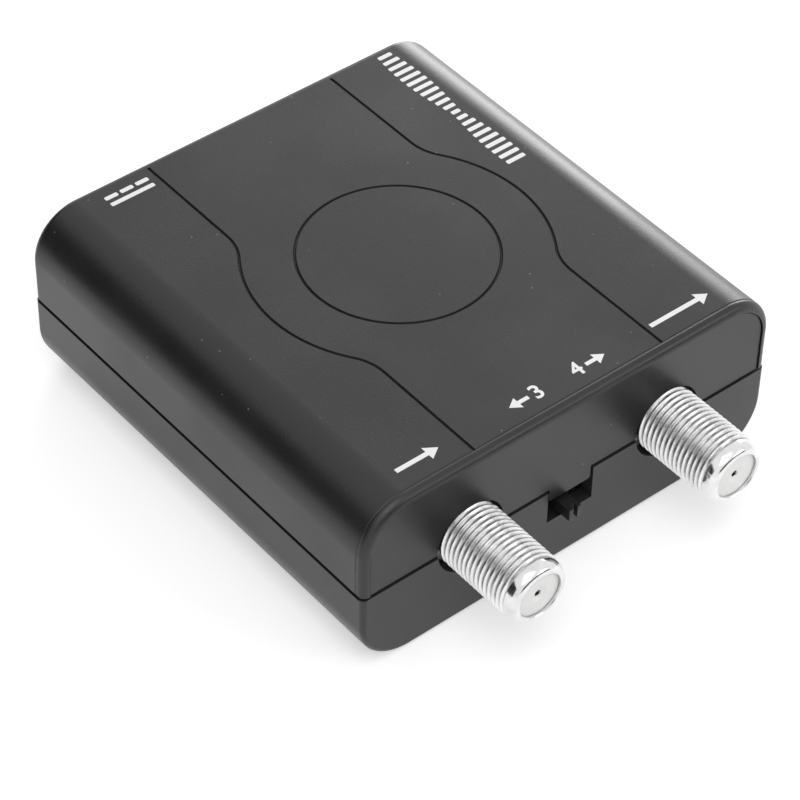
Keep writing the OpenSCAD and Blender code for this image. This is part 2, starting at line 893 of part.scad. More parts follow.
module switch_slider() {
    knob_end = panel_front - knob_reach;
    color(chip_colour)
        translate([knob_rest_x, 0, knob_z]) {
            block([-slider_w / 2, slider_front, -slider_h / 2], [slider_w / 2, slider_back, slider_h / 2]);
            difference() {
                block([-knob_w / 2, knob_end, -knob_h / 2], [knob_w / 2, slider_front + slice, knob_h / 2]);
                block([-knob_notch_w / 2, knob_end - over, -knob_h],
                    [knob_notch_w / 2, knob_end + knob_notch_depth, knob_h]);
            }
        }
}

module switch_contact_clip() {
    half_w = terminal_pitch / 2 + terminal_w * 0.3;
    half_h = knob_h * 0.3;
    color(gold_colour)
        translate([knob_rest_x, 0, knob_z]) {
            block([-half_w, clip_front, -half_h], [half_w, clip_back, half_h]);
            for (x = [-terminal_pitch / 2, terminal_pitch / 2])
                translate([x, 0, 0])
                    block([-terminal_w * 0.3, clip_back - slice, -half_h],
                        [terminal_w * 0.3, clip_back + clip_bump, half_h]);
        }
}

// Outline of an inlet's shell with its two lower corners cut off, drawn in by a distance
function inlet_outline(w, h, cut, inset) =
    let (side = w / 2 - inset, low = inset, high = h - inset, c = cut - inset * 0.6)
    [[-side, high], [-side, low + c], [c - side, low], [side - c, low], [side, low + c], [side, high]];

// A folded sheet shell, open to the back of the case and closed behind its tongue
module inlet_shell(w, h, d, cut, sheet, front) {
    difference() {
        translate([0, 0, board_top])
            along_y(front - d, front)
                polygon(inlet_outline(w, h, cut, 0));
        translate([0, 0, board_top])
            along_y(front - d + 2 * sheet, front + over)
                polygon(inlet_outline(w, h, cut, sheet));
    }
    shell_legs(w, front, d, sheet, 0, pin_bottom, board_top + h / 2);
}

module power_inlet_shell() {
    color(metal_colour)
        translate([-power_x, 0, 0])
            inlet_shell(power_w, power_h, power_d, power_h * inlet_cut_share, power_sheet, power_front);
}

// An inlet's tongue on its root block, given by its shell's and its own sizes
module inlet_tongue(h, d, sheet, front, w, t, root, z) {
    back = front - d + 2 * sheet;
    end = front - d * tongue_setback_share;
    block([-w / 2, back, board_top + sheet], [w / 2, back + root, board_top + h - sheet]);
    block([-w / 2, back + root - slice, z - t / 2], [w / 2, end, z + t / 2]);
}

// One row of flat contact strips against a face of a tongue
module contact_row(count, pitch, half_w, low, high) {
    for (i = [0:count - 1])
        translate([(i - (count - 1) / 2) * pitch, 0, 0])
            block([-half_w, low[0], low[1]], [half_w, high[0], high[1]]);
}

module power_inlet_tongue() {
    color(chip_colour)
        translate([-power_x, 0, 0])
            inlet_tongue(power_h, power_d, power_sheet, power_front,
                power_tongue_w, power_tongue_t, power_d * tongue_root_share, power_axis_z);
}

module power_inlet_contacts() {
    root = power_front - power_d + 2 * power_sheet + power_d * tongue_root_share;
    end = power_front - power_d * strip_setback_share;
    under = power_axis_z - power_tongue_t / 2;
    color(gold_colour)
        translate([-power_x, 0, 0])
            contact_row(5, power_pitch, power_strip_half, [root, under - power_strip_t], [end, under]);
}

module video_inlet_shell() {
    color(metal_colour)
        inlet_shell(video_w, video_h, video_d, video_h * inlet_cut_share, video_sheet, video_front);
}

module video_inlet_tongue() {
    color(chip_colour)
        inlet_tongue(video_h, video_d, video_sheet, video_front,
            video_tongue_w, video_tongue_t, video_d * tongue_root_share, video_axis_z);
}

module video_inlet_contacts() {
    root = video_front - video_d + 2 * video_sheet + video_d * tongue_root_share;
    end = video_front - video_d * strip_setback_share;
    under = video_axis_z - video_tongue_t / 2;
    above = video_axis_z + video_tongue_t / 2;
    color(gold_colour) {
        contact_row(10, video_pitch, video_strip_half, [root, above], [end, above + video_strip_t]);
        contact_row(9, video_pitch, video_strip_half, [root, under - video_strip_t], [end, under]);
    }
}

module rf_shield_frame() {
    low = [-shield_w / 2, shield_middle_y - shield_d / 2, board_top];
    high = [shield_w / 2, shield_middle_y + shield_d / 2, board_top + shield_h - shield_sheet];
    skin = [shield_sheet, shield_sheet, 0];
    rim = [shield_flange, shield_flange, 0];
    color(metal_colour)
        difference() {
            block(low, high);
            block(low + skin - [0, 0, over], high - skin - [0, 0, shield_sheet]);
            block(low + rim, high - rim + [0, 0, over]);
        }
}

module rf_shield_lid() {
    grow = shield_sheet + seat_clearance;
    top = board_top + shield_h;
    low = [-shield_w / 2, shield_middle_y - shield_d / 2, top - shield_sheet];
    high = [shield_w / 2, shield_middle_y + shield_d / 2, top];
    edge = [grow, grow, 0];
    gap = [seat_clearance, seat_clearance, 0];
    color(metal_colour)
        difference() {
            block(low - edge - [0, 0, shield_skirt], high + edge);
            block(low - gap - [0, 0, shield_skirt + over], high + gap - [0, 0, shield_sheet]);
        }
}

// A chip's body, standing just clear of the board
module chip_body(w, d, h) {
    translate([0, 0, board_top + chip_standoff])
        block([-w / 2, -d / 2, 0], [w / 2, d / 2, h]);
}

// One row of bent leads along the side of a chip whose face is at a distance from its middle
module lead_row(face, count, pitch, w) {
    middle = board_top + chip_standoff + chip_h / 2;
    for (i = [0:count - 1])
        translate([face, (i - (count - 1) / 2) * pitch + w / 2, 0])
            rotate([90, 0, 0])
                linear_extrude(w)
                    polygon([
                        [0, middle], [lead_foot, middle], [lead_foot, board_top + lead_t],
                        [lead_reach, board_top + lead_t], [lead_reach, board_top],
                        [lead_foot - lead_t, board_top], [lead_foot - lead_t, middle - lead_t],
                        [0, middle - lead_t]
                    ]);
}

// The place of a board part, given as shares of the board's width and depth
module at_share(share) {
    translate([share[0] * board_w, share[1] * board_d, 0])
        children();
}

// The place of a part inside the shield, given as shares of the shield's width and depth
module in_shield(share) {
    translate([share[0] * shield_w, shield_middle_y + share[1] * shield_d, 0])
        children();
}

module video_chip() {
    color(chip_colour)
        at_share(video_chip_share)
            chip_body(video_chip_w, video_chip_w, chip_h);
}

module video_chip_leads() {
    count = floor(video_chip_w / lead_pitch) - 1;
    color(metal_colour)
        at_share(video_chip_share)
            for (side = [0:3])
                rotate([0, 0, 90 * side])
                    lead_row(video_chip_w / 2, count, lead_pitch, lead_w);
}

module control_chip() {
    color(chip_colour)
        at_share(control_chip_share)
            chip_body(control_chip_w, control_chip_len, chip_h);
}

module control_chip_leads() {
    pitch = control_chip_len / 4;
    color(metal_colour)
        at_share(control_chip_share)
            for (side = [0, 1])
                rotate([0, 0, 180 * side])
                    lead_row(control_chip_w / 2, 4, pitch, lead_w);
}

module rf_chip() {
    color(chip_colour)
        in_shield(rf_chip_share)
            chip_body(rf_chip_w, rf_chip_w, chip_h);
}

module rf_chip_leads() {
    count = floor(rf_chip_w / lead_pitch);
    color(metal_colour)
        in_shield(rf_chip_share)
            for (side = [0, 1])
                rotate([0, 0, 180 * side])
                    lead_row(rf_chip_w / 2, count, lead_pitch, lead_w);
}

module regulator() {
    color(chip_colour)
        at_share(regulator_share)
            chip_body(regulator_w, regulator_len, chip_h);
}

module regulator_leads() {
    color(metal_colour)
        at_share(regulator_share) {
            lead_row(regulator_w / 2, 3, regulator_pitch, regulator_lead_w);
            rotate([0, 0, 180])
                lead_row(regulator_w / 2, 1, regulator_pitch, regulator_tab_w);
        }
}

module capacitor_cans() {
    base_h = can_h * 0.18;
    color(metal_colour)
        for (share = can_shares)
            at_share(share)
                translate([0, 0, board_top + base_h])
                    cylinder(r = can_r, h = can_h - base_h);
}

module capacitor_bases() {
    base_h = can_h * 0.18;
    side = can_r + seat_clearance;
    color(chip_colour)
        for (share = can_shares)
            at_share(share)
                block([-side, -side, board_top], [side, side, board_top + base_h]);
}

module power_coil_core() {
    flange_h = coil_h * 0.2;
    core_r = coil_w * 0.2;
    color(chip_colour)
        at_share(coil_share)
            translate([0, 0, board_top]) {
                block([-coil_w / 2, -coil_w / 2, 0], [coil_w / 2, coil_w / 2, flange_h]);
                cylinder(r = core_r, h = coil_h);
                translate([0, 0, coil_h - flange_h])
                    cylinder(r = coil_w / 2, h = flange_h);
            }
}

module power_coil_wire() {
    flange_h = coil_h * 0.2;
    core_r = coil_w * 0.2;
    color("chocolate")
        at_share(coil_share)
            translate([0, 0, board_top + flange_h])
                difference() {
                    cylinder(r = coil_w * 0.42, h = coil_h - 2 * flange_h);
                    translate([0, 0, -over])
                        cylinder(r = core_r + seat_clearance, h = coil_h);
                }
}

module crystal() {
    end_r = crystal_w / 2;
    straight = crystal_len - crystal_w;
    color(metal_colour)
        at_share(crystal_share)
            translate([0, 0, board_top]) {
                block([-end_r, -straight / 2, 0], [end_r, straight / 2, crystal_h]);
                for (y = [-straight / 2, straight / 2])
                    translate([0, y, 0])
                        cylinder(r = end_r, h = crystal_h);
            }
}

// A flat chip part on the board
module chip_part(h) {
    block([-chip_part_len / 2, -chip_part_w / 2, board_top],
        [chip_part_len / 2, chip_part_w / 2, board_top + h]);
}

module chip_capacitors() {
    color("tan") {
        for (share = capacitor_shares)
            at_share(share)
                chip_part(chip_part_h);
        for (share = shielded_shares)
            in_shield(share)
                chip_part(chip_part_h);
    }
}

module chip_resistors() {
    color(chip_colour)
        for (share = resistor_shares)
            at_share(share)
                chip_part(chip_part_h / 2);
}

upper_cover();
lower_cover();
case_screws();
circuit_board();
board_screws();
rf_in_connector_body();
rf_in_insulator();
rf_in_contact();
rf_out_connector_body();
rf_out_insulator();
rf_out_contact();
switch_frame();
switch_base();
switch_terminals();
switch_slider();
switch_contact_clip();
power_inlet_shell();
power_inlet_tongue();
power_inlet_contacts();
video_inlet_shell();
video_inlet_tongue();
video_inlet_contacts();
rf_shield_frame();
rf_shield_lid();
rf_chip();
rf_chip_leads();
video_chip();
video_chip_leads();
control_chip();
control_chip_leads();
regulator();
regulator_leads();
capacitor_cans();
capacitor_bases();
power_coil_core();
power_coil_wire();
crystal();
chip_capacitors();
chip_resistors();
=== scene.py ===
import json
from contextlib import contextmanager
from math import atan2, cos, pi, radians, sin, sqrt

import bmesh
import bpy
from bpy.props import FloatProperty, FloatVectorProperty, IntProperty, PointerProperty
from mathutils import Matrix, Vector
from mathutils.bvhtree import BVHTree


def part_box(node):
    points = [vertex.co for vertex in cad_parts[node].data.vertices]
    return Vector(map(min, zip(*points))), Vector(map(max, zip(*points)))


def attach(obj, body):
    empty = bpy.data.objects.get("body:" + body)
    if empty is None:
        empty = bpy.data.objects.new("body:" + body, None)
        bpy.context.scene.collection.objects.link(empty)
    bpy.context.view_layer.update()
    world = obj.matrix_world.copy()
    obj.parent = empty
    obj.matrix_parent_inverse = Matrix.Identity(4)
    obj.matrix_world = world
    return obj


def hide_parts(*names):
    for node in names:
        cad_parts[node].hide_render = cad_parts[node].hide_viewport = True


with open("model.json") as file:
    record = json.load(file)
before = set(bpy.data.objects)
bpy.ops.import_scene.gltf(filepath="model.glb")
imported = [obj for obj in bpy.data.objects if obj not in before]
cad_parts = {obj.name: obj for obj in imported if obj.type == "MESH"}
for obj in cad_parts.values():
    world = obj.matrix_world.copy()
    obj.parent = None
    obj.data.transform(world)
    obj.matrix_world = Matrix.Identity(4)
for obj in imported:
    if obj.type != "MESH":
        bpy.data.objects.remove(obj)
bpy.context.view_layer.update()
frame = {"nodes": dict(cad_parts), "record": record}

bl_info = {
    "name": "Channel Modulator",
    "version": (1, 0, 0),
    "blender": (4, 5, 0),
    "location": "3D View > Sidebar > Modulator",
    "description": "Dresses a small channel modulator: its case, connectors, switch and inlets",
    "category": "Add Mesh",
}

MM = 0.001
# How near a point counts as lying on a plane
TOUCH = 0.002 * MM
# How near a face's middle counts as lying on the outside
SKIN = 0.02 * MM
# How far a cutting form reaches past what it cuts
OVER = 1 * MM
# How far a form reaches into one that it is joined to
SINK = 0.1 * MM
# The thickness of the printed marks
PRINT = 0.012 * MM
# Sizes of the heads of the case screws and of the board screws
CASE_HEAD_RADIUS = 2.3 * MM
CASE_HEAD_HEIGHT = 1.3 * MM
BOARD_HEAD_RADIUS = 1.9 * MM
X, Y, Z = 0, 1, 2
X_AXIS = Vector((1, 0, 0))
Y_AXIS = Vector((0, 1, 0))
Z_AXIS = Vector((0, 0, 1))


def length(name, description, default):
    """A size property, in metres."""
    return FloatProperty(name=name, description=description, default=default, unit="LENGTH", precision=5)


def angle(name, description, degrees):
    """An angle property, given in degrees."""
    return FloatProperty(name=name, description=description, default=radians(degrees), subtype="ANGLE")


def power(name, description, default):
    """A lamp's power, in watts."""
    return FloatProperty(name=name, description=description, default=default, unit="POWER")


def number(name, description, default):
    """A plain number property."""
    return FloatProperty(name=name, description=description, default=default)


def lengths(name, description, *default):
    """A place, or a size with two values, in metres."""
    return FloatVectorProperty(name=name, description=description, default=default, size=len(default),
                               unit="LENGTH", precision=5)


def colour(name, description, default):
    """A colour property."""
    return FloatVectorProperty(name=name, description=description, default=default,
                               subtype="COLOR", size=3, min=0, max=1)


class CaseSizes(bpy.types.PropertyGroup):
    """Sizes of the two covers that their boxes don't give."""
    wall: length("Wall", "Thickness of every outer wall", 2 * MM)
    parting: length("Parting height", "Height of the joint between the covers", 12.95 * MM)
    gap: length("Parting gap", "Open gap between the covers", 0.34 * MM)
    side_gap: length("Side gap", "Widening of the joint along the long sides, at each cover", 0.19 * MM)
    side_gap_depth: length("Side gap depth", "Depth of that widening", 0.6 * MM)
    top_corner: length("Top corner", "Radius of the long edges of the top", 7.15 * MM)
    bottom_corner: length("Bottom corner", "Radius of the long edges of the bottom", 7.6 * MM)
    upper_rim: length("Upper rim", "Radius of the upper cover's end rims", 1.15 * MM)
    lower_rim: length("Lower rim", "Radius of the lower cover's end rims", 0.75 * MM)
    setback: length("Setback", "Distance of the lower cover's sides inside the upper cover's", 0.03 * MM)
    rim_dip: length("Rim dip", "Depth of the valley where a rim meets the top", 0.1 * MM)
    valley_back: length("Valley place", "Distance of that valley behind the rim", 0.2 * MM)
    valley_width: length("Valley width", "Half of the valley's width", 0.18 * MM)
    crease_width: length("Crease width", "Width of the crease round an end panel", 0.2 * MM)
    crease_depth: length("Crease depth", "Depth of the crease below its panel", 0.2 * MM)
    panel_recess: length("Panel recess", "Depth of the end panels below the rims", 0.2 * MM)
    land: length("Rim land", "Flat width between a rim and its panel's step", 0.06 * MM)
    ease: length("Eased edge", "Radius of the covers' eased edges", 0.04 * MM)
    lip_height: length("Lip height", "Height of the lower cover's locating lip", 1.2 * MM)
    lip_thickness: length("Lip thickness", "Thickness of the locating lip", 0.9 * MM)
    lip_clearance: length("Lip clearance", "Free space round the lip", 0.1 * MM)
    hole: length("Connector hole", "Radius of the case's connector holes", 5.25 * MM)
    hole_drop: length("Hole drop", "Drop of those holes below the connectors' axes", 0.3 * MM)
    window_width: length("Window width", "Width of the switch window", 7.5 * MM)
    window_sill: length("Window sill", "Height of the switch window's sill", 7.55 * MM)
    tab_bottom: length("Tab bottom", "Height of the lower end of the tab in the window", 11.05 * MM)
    tab_gap: length("Tab gap", "Gap at each side of the tab that closes the window", 0.3 * MM)
    tab_corner: length("Tab corner", "Radius of the tab's lower corners", 0.4 * MM)
    inlet_gap: length("Inlet gap", "Gap between an inlet and its opening", 0.3 * MM)
    boss: length("Boss radius", "Radius of the case screw bosses", 3.4 * MM)
    board_boss: length("Board boss radius", "Radius of the board screw bosses", 2.4 * MM)
    counterbore: length("Counterbore radius", "Radius of the pockets for the screw heads", 2.6 * MM)
    shank_hole: length("Shank hole radius", "Radius of the holes for the case screws' shanks", 1.5 * MM)
    pilot: length("Pilot radius", "Radius of the holes that the case screws bite", 1.3 * MM)
    pilot_spare: length("Pilot spare", "Depth of those holes past the screws' ends", 1 * MM)
    board_pilot: length("Board pilot radius", "Radius of the board screws' holes", 1.05 * MM)
    board_pilot_spare: length("Board pilot spare", "Depth of those holes past the screws' ends", 0.3 * MM)


class GrooveSizes(bpy.types.PropertyGroup):
    """Sizes of the ornamental grooves in the top."""
    width: length("Width", "Width of a groove at its walls", 0.34 * MM)
    depth: length("Depth", "Depth of a groove", 0.3 * MM)
    flare: length("Flare", "Width of the eased edge at each side of a groove", 0.06 * MM)
    ring: length("Ring radius", "Radius of the round groove", 13.28 * MM)
    offset: length("Stripe offset", "Distance of the straight stretches from the middle", 15.3 * MM)
    bulge: length("Bulge radius", "Radius of the outward bulge of the wavy grooves", 20.4 * MM)
    bend: length("Bend radius", "Radius of the bends into the bulge", 7.6 * MM)


class ConnectorSizes(bpy.types.PropertyGroup):
    """Sizes of the two screw-on aerial connectors."""
    pitch: length("Thread pitch", "Distance between neighbouring crests", 0.794 * MM)
    thread_depth: length("Thread depth", "Depth of the thread", 0.42 * MM)
    thread_start: length("Thread start", "Distance of the thread's back end inside the case's face", 0.6 * MM)
    thread_phase: number("Thread phase", "Start of the drawn helix, in pitches behind that end", 1.63)
    thread_end: length("Thread end", "Distance of the thread's end behind the tip", 1.75 * MM)
    thread_fade: length("Thread fade", "Length over which the last crest sinks into the nose", 0.5 * MM)
    # Where the painted shade in the thread's valleys begins and becomes full, about the thread's end
    shade_lead: length("Soil lead", "Reach of the residue in front of the thread's end", 0.1 * MM)
    shade_fade: length("Soil fade", "Distance behind that end at which the residue is full", 0.3 * MM)
    nose: length("Nose radius", "Radius of the nose beside the thread", 4.5 * MM)
    nose_round: length("Nose round", "Length over which the nose curves in", 1.5 * MM)
    root_gap: length("Root gap", "Distance of the tube behind the nose below the thread's root", 0.15 * MM)
    shoulder: length("Shoulder", "Length of the slope from that tube to the nose", 0.3 * MM)
    shoulder_lead: length("Shoulder lead", "Reach of the slope in front of the thread's end", 0.05 * MM)
    tube_end: length("Tube end", "Distance of the tube's end inside the block's", 0.02 * MM)
    bore: length("Bore radius", "Radius of the bore that holds the insulator", 3.45 * MM)
    lip: length("Lip width", "Width of the rolled lip over the insulator", 0.15 * MM)
    lip_round: length("Lip round", "Radius of the lip's inner edge", 0.06 * MM)
    lip_depth: length("Lip depth", "Thickness of the lip", 0.35 * MM)
    block_depth: length("Block depth", "Depth of the mounting block", 5 * MM)
    block_round: length("Block round", "Radius of the mounting block's edges", 0.25 * MM)
    peg: length("Peg radius", "Radius of the mounting pegs", 0.6 * MM)
    peg_across: number("Pegs across", "Distance of the pegs from the middle, as a share of the width", 0.38)
    peg_along: number("Pegs along", "Distance of the pegs from the ends, as a share of the depth", 0.2)
    peg_point: length("Peg point", "Length of a peg's tapered end", 0.3 * MM)
    disc_dome: length("Disc dome", "Rise of the insulator's face at its middle", 0.2 * MM)
    entry: length("Entry radius", "Radius from which the dimple and funnel are reckoned", 0.6 * MM)
    dimple_edge: length("Dimple edge", "Depth of the dimple at its edge", 0.14 * MM)
    dimple_floor: length("Dimple floor", "Depth of the dimple's floor", 0.16 * MM)
    funnel: length("Funnel depth", "Depth at which the funnel for the wire ends", 0.22 * MM)
    play: length("Contact play", "Free space round the contact's sleeve in the insulator", 0.05 * MM)
    leaf_play: length("Leaf play", "Free space round the leaves in the wire's hole", 0.02 * MM)
    leaf_depth: length("Leaf depth", "Depth of the contact's leaves behind the disc's face", 0.3 * MM)
    leaf_wall: length("Leaf wall", "Thickness of the contact's leaves", 0.07 * MM)
    socket_depth: length("Socket depth", "Depth of the hole between the leaves", 4 * MM)
    sleeve_length: length("Sleeve length", "Length of the contact's sleeve", 8 * MM)
    slit_length: length("Slit length", "Length of the slit between the contact's leaves", 5 * MM)
    tail: length("Tail radius", "Radius of the contact's tail", 0.28 * MM)
    throat: length("Throat radius", "Radius of the wire's hole where its funnel ends", 0.52 * MM)
    slit: length("Slit width", "Width of the slit between the contact's leaves", 0.14 * MM)
    slit_tilt: angle("Slit tilt", "Turn of the slit about the connector's axis", 29)


class PrintSizes(bpy.types.PropertyGroup):
    """Sizes and places of the printed marks; an arrow's or bar's size is its length and its width."""
    digit: length("Digit size", "Size of the two numbers", 3.3 * MM)
    digit_weight: length("Digit weight", "Thickening of the numbers' strokes", 0.06 * MM)
    three: lengths("Three", "Place of the left number", -2.8 * MM, -30.5 * MM)
    four: lengths("Four", "Place of the right number", 3.7 * MM, -30.5 * MM)
    short_arrow: lengths("Short arrows", "Size of the arrows beside the numbers", 3.1 * MM, 2.0 * MM)
    to_three: lengths("Arrow to three", "Place of the arrow left of the numbers", -5.75 * MM, -30.5 * MM)
    to_four: lengths("Arrow to four", "Place of the arrow right of the numbers", 6.7 * MM, -30.5 * MM)
    in_arrow: lengths("In arrow", "Size of the arrow over the left connector", 6.6 * MM, 2.3 * MM)
    inwards: lengths("Inwards", "Place of the arrow over the left connector", -21.7 * MM, -30.35 * MM)
    out_arrow: lengths("Out arrow", "Size of the arrow over the right connector", 9.8 * MM, 2.3 * MM)
    outwards: lengths("Outwards", "Place of the arrow over the right connector", 21.05 * MM, -30.3 * MM)
    current: lengths("Current", "Place of the direct-current sign", -20.0 * MM, 31.0 * MM)
    long_bar: lengths("Long bar", "Size of that sign's long bar", 6.9 * MM, 0.7 * MM)
    short_bar: lengths("Short bar", "Size of that sign's short bars", 2.0 * MM, 0.7 * MM)
    bar_step: lengths("Bar step", "Step of the short bars, and the lines' distance from the middle",
                      2.45 * MM, 0.7 * MM)
    row: lengths("Row", "Place of the long row of bars", 24.15 * MM, 18.8 * MM)
    row_length: length("Row length", "Distance from the row's first bar to its last", 27.6 * MM)
    row_bar: length("Row bar", "Width of a bar in the row", 0.72 * MM)
    row_low: length("Row low", "Height of the row's lowest bars", 1.3 * MM)
    row_high: length("Row high", "Height of the row's highest bars", 3.3 * MM)
    row_waves: number("Row waves", "Number of humps along the row", 1.5)
    row_phase: number("Row phase", "Where the wave starts, in radians", 0.5)


class FinishColours(bpy.types.PropertyGroup):
    """Colours of the finishes."""
    case: colour("Case plastic", "Satin black of both covers", (0.0125, 0.0125, 0.013))
    # Painted shade: near-black for the covers' joint, holes and inner faces, and the contacts' sockets
    inside: colour("Case inside", "Matt black of the covers' joint and inner faces", (0.004, 0.004, 0.004))
    nickel: colour("Nickel", "Bright plating of the connectors", (0.78, 0.78, 0.78))
    # Colour of the painted shade in the thread's valleys
    valley_shade: colour("Nickel soil", "Dark residue in the thread's valleys", (0.16, 0.16, 0.16))
    insulator: colour("Insulator", "White of the connectors' discs", (0.88, 0.88, 0.87))
    gold: colour("Gold", "Plating of the small contacts", (0.83, 0.60, 0.25))
    tin: colour("Tin", "Tinned leads and leaves", (0.72, 0.72, 0.71))
    sheet: colour("Sheet steel", "Folded sheet of inlets and shield", (0.66, 0.66, 0.65))
    screw: colour("Screw steel", "Zinc plate of the screws", (0.50, 0.51, 0.53))
    board: colour("Board", "Solder resist of the circuit board", (0.012, 0.10, 0.035))
    switch: colour("Switch plastic", "Black of the knob and its base", (0.012, 0.012, 0.013))
    chip: colour("Chip plastic", "Black of the chips and tongues", (0.018, 0.018, 0.019))
    can: colour("Capacitor can", "Satin aluminium", (0.70, 0.70, 0.70))
    copper: colour("Copper", "Enamelled winding", (0.55, 0.20, 0.07))
    ceramic: colour("Ceramic", "Chip capacitors", (0.42, 0.27, 0.14))
    printing: colour("Print", "White marks on the top", (0.9, 0.9, 0.9))


class StageSettings(bpy.types.PropertyGroup):
    """The floor, the lamps and the camera."""
    azimuth: angle("Azimuth", "Turn of the camera round the case", -39.897)
    elevation: angle("Elevation", "Height angle of the camera", 44.22)
    roll: angle("Roll", "Tilt of the camera about its own axis", 1.147)
    distance: length("Distance", "Distance from the camera to its aim", 430.66 * MM)
    aim_right: length("Aim right", "Sideways place of the aim in the picture plane", 0.618 * MM)
    aim_up: length("Aim up", "Upward place of the aim in the picture plane", -0.613 * MM)
    aim_height: length("Aim height", "Height of the aim above the floor", 1.19 * MM)
    lens: number("Lens", "Focal length in millimetres", 144.84)
    floor_size: length("Floor size", "Width of the floor", 6.0)
    floor_drop: length("Floor drop", "Distance of the floor below the case", 0.05 * MM)
    key_place: lengths("Key place", "Place of the large lamp overhead", -0.25, -0.35, 0.9)
    key_size: length("Key size", "Width of that lamp", 0.7)
    key_power: power("Key power", "Power of that lamp", 3.0)
    fill_place: lengths("Fill place", "Place of the lamp in front", 0.5, -0.7, 0.35)
    fill_size: length("Fill size", "Width of that lamp", 0.5)
    fill_power: power("Fill power", "Power of that lamp", 1.5)
    rim_place: lengths("Rim place", "Place of the low lamp behind at the right", 0.56, 0.45, 0.12)
    rim_size: length("Rim size", "Width of that lamp", 0.4)
    rim_power: power("Rim power", "Power of that lamp", 3.0)
    left_flag: lengths("Left flag", "Place of the black card at the left", -0.134, 0.105, 0.06)
    left_flag_size: lengths("Left flag size", "Width and height of that card", 0.45, 0.13)
    front_flag: lengths("Front flag", "Place of the black card in front", 0.10, -0.60, 0.14)
    front_flag_size: lengths("Front flag size", "Width and height of that card", 1.0, 0.24)
    ambient: number("Ambient", "Brightness of the surroundings", 0.55)
    paper: number("Paper", "Glow of the floor where it is seen", 0.46)


# Selecting and editing

def deselect():
    """Leaves edit mode and selects nothing."""
    if bpy.context.object and bpy.context.object.mode != "OBJECT":
        bpy.ops.object.mode_set(mode="OBJECT")
    bpy.ops.object.select_all(action="DESELECT")


def activate(obj):
    """Selects one object alone."""
    deselect()
    obj.select_set(True)
    bpy.context.view_layer.objects.active = obj


@contextmanager
def editing(obj):
    """Edit mode on one object, for as long as the block runs."""
    activate(obj)
    bpy.ops.object.mode_set(mode="EDIT")
    bpy.ops.mesh.select_mode(type="VERT")
    yield
    bpy.ops.object.mode_set(mode="OBJECT")


def pick(kind, test):
    """In edit mode, selects the vertices, edges or faces that pass a test, and nothing else."""
    obj = bpy.context.edit_object
    bpy.ops.mesh.select_mode(type=kind)
    bpy.ops.mesh.select_all(action="DESELECT")
    mesh = bmesh.from_edit_mesh(obj.data)
    for item in {"VERT": mesh.verts, "EDGE": mesh.edges, "FACE": mesh.faces}[kind]:
        if test(item):
            item.select_set(True)
    mesh.select_flush_mode()
    bmesh.update_edit_mesh(obj.data)


def on_plane(item, axis, place):
    """Whether all the corners of an edge or face lie on a plane square to an axis."""
    return all(abs(v.co[axis] - place) < TOUCH for v in item.verts)


def runs_along(edge, axis):
    """Whether an edge is parallel to an axis."""
    step = edge.verts[1].co - edge.verts[0].co
    return abs(abs(step[axis]) - step.length) < TOUCH


def bevel(width, segments):
    """Rounds the selected edges."""
    bpy.ops.mesh.bevel(offset=width, segments=segments, affect="EDGES", clamp_overlap=False)


def slice_at(place, normal, drop=False):
    """In edit mode, cuts at a plane and, where asked, drops what the normal points to and closes it."""
    bpy.ops.mesh.select_all(action="SELECT")
    bpy.ops.mesh.bisect(plane_co=place, plane_no=normal, use_fill=drop, clear_outer=drop,
                        threshold=TOUCH / 20)


def face_outwards():
    """In edit mode, joins doubled points and turns every face outwards."""
    bpy.ops.mesh.select_all(action="SELECT")
    bpy.ops.mesh.remove_doubles(threshold=TOUCH / 4)
    bpy.ops.mesh.normals_make_consistent(inside=False)


# Basic forms

def take_place(obj, name):
    """Puts an object's place and turn into its mesh."""
    activate(obj)
    bpy.ops.object.transform_apply(location=True, rotation=True, scale=True)
    obj.name = name
    obj.data.name = name
    return obj


def add_block(name, low, high):
    """A block between two corners."""
    low, high = Vector(low), Vector(high)
    deselect()
    bpy.ops.mesh.primitive_cube_add(size=1, location=(low + high) / 2, scale=high - low)
    return take_place(bpy.context.object, name)


def add_rod(name, start, end, radius, sides=48):
    """A round rod from one point to another."""
    start, end = Vector(start), Vector(end)
    axis = end - start
    deselect()
    bpy.ops.mesh.primitive_cylinder_add(vertices=sides, radius=radius, depth=axis.length,
                                        location=(start + end) / 2,
                                        rotation=axis.to_track_quat("Z", "Y").to_euler())
    return take_place(bpy.context.object, name)


def add_column(name, place, low, high, radius, sides=48):
    """An upright rod at a place, between two heights."""
    return add_rod(name, place + Z_AXIS * low, place + Z_AXIS * high, radius, sides)


def draw_line(name, points):
    """A line of edges, drawn vertex by vertex from its first point."""
    points = [Vector(p) for p in points]
    deselect()
    bpy.ops.mesh.primitive_plane_add(size=MM, location=points[0])
    line = take_place(bpy.context.object, name)
    with editing(line):
        bpy.ops.mesh.select_all(action="SELECT")
        bpy.ops.mesh.merge(type="CENTER")
        for here, there in zip(points, points[1:]):
            bpy.ops.mesh.extrude_region_move(TRANSFORM_OT_translate={"value": there - here})
    return line


def add_lathe(name, centre, axis, outline, steps=64):
    """A turned form: its outline gives radius and distance along the axis, and is spun round it."""
    side = Z_AXIS.cross(axis) if abs(axis.z) < 0.5 else X_AXIS
    centre = Vector(centre)
    form = draw_line(name, [centre + side * r + axis * along for r, along in outline])
    with editing(form):
        bpy.ops.mesh.select_all(action="SELECT")
        bpy.ops.mesh.spin(steps=steps, angle=2 * pi, center=centre, axis=axis)
        face_outwards()
    return form


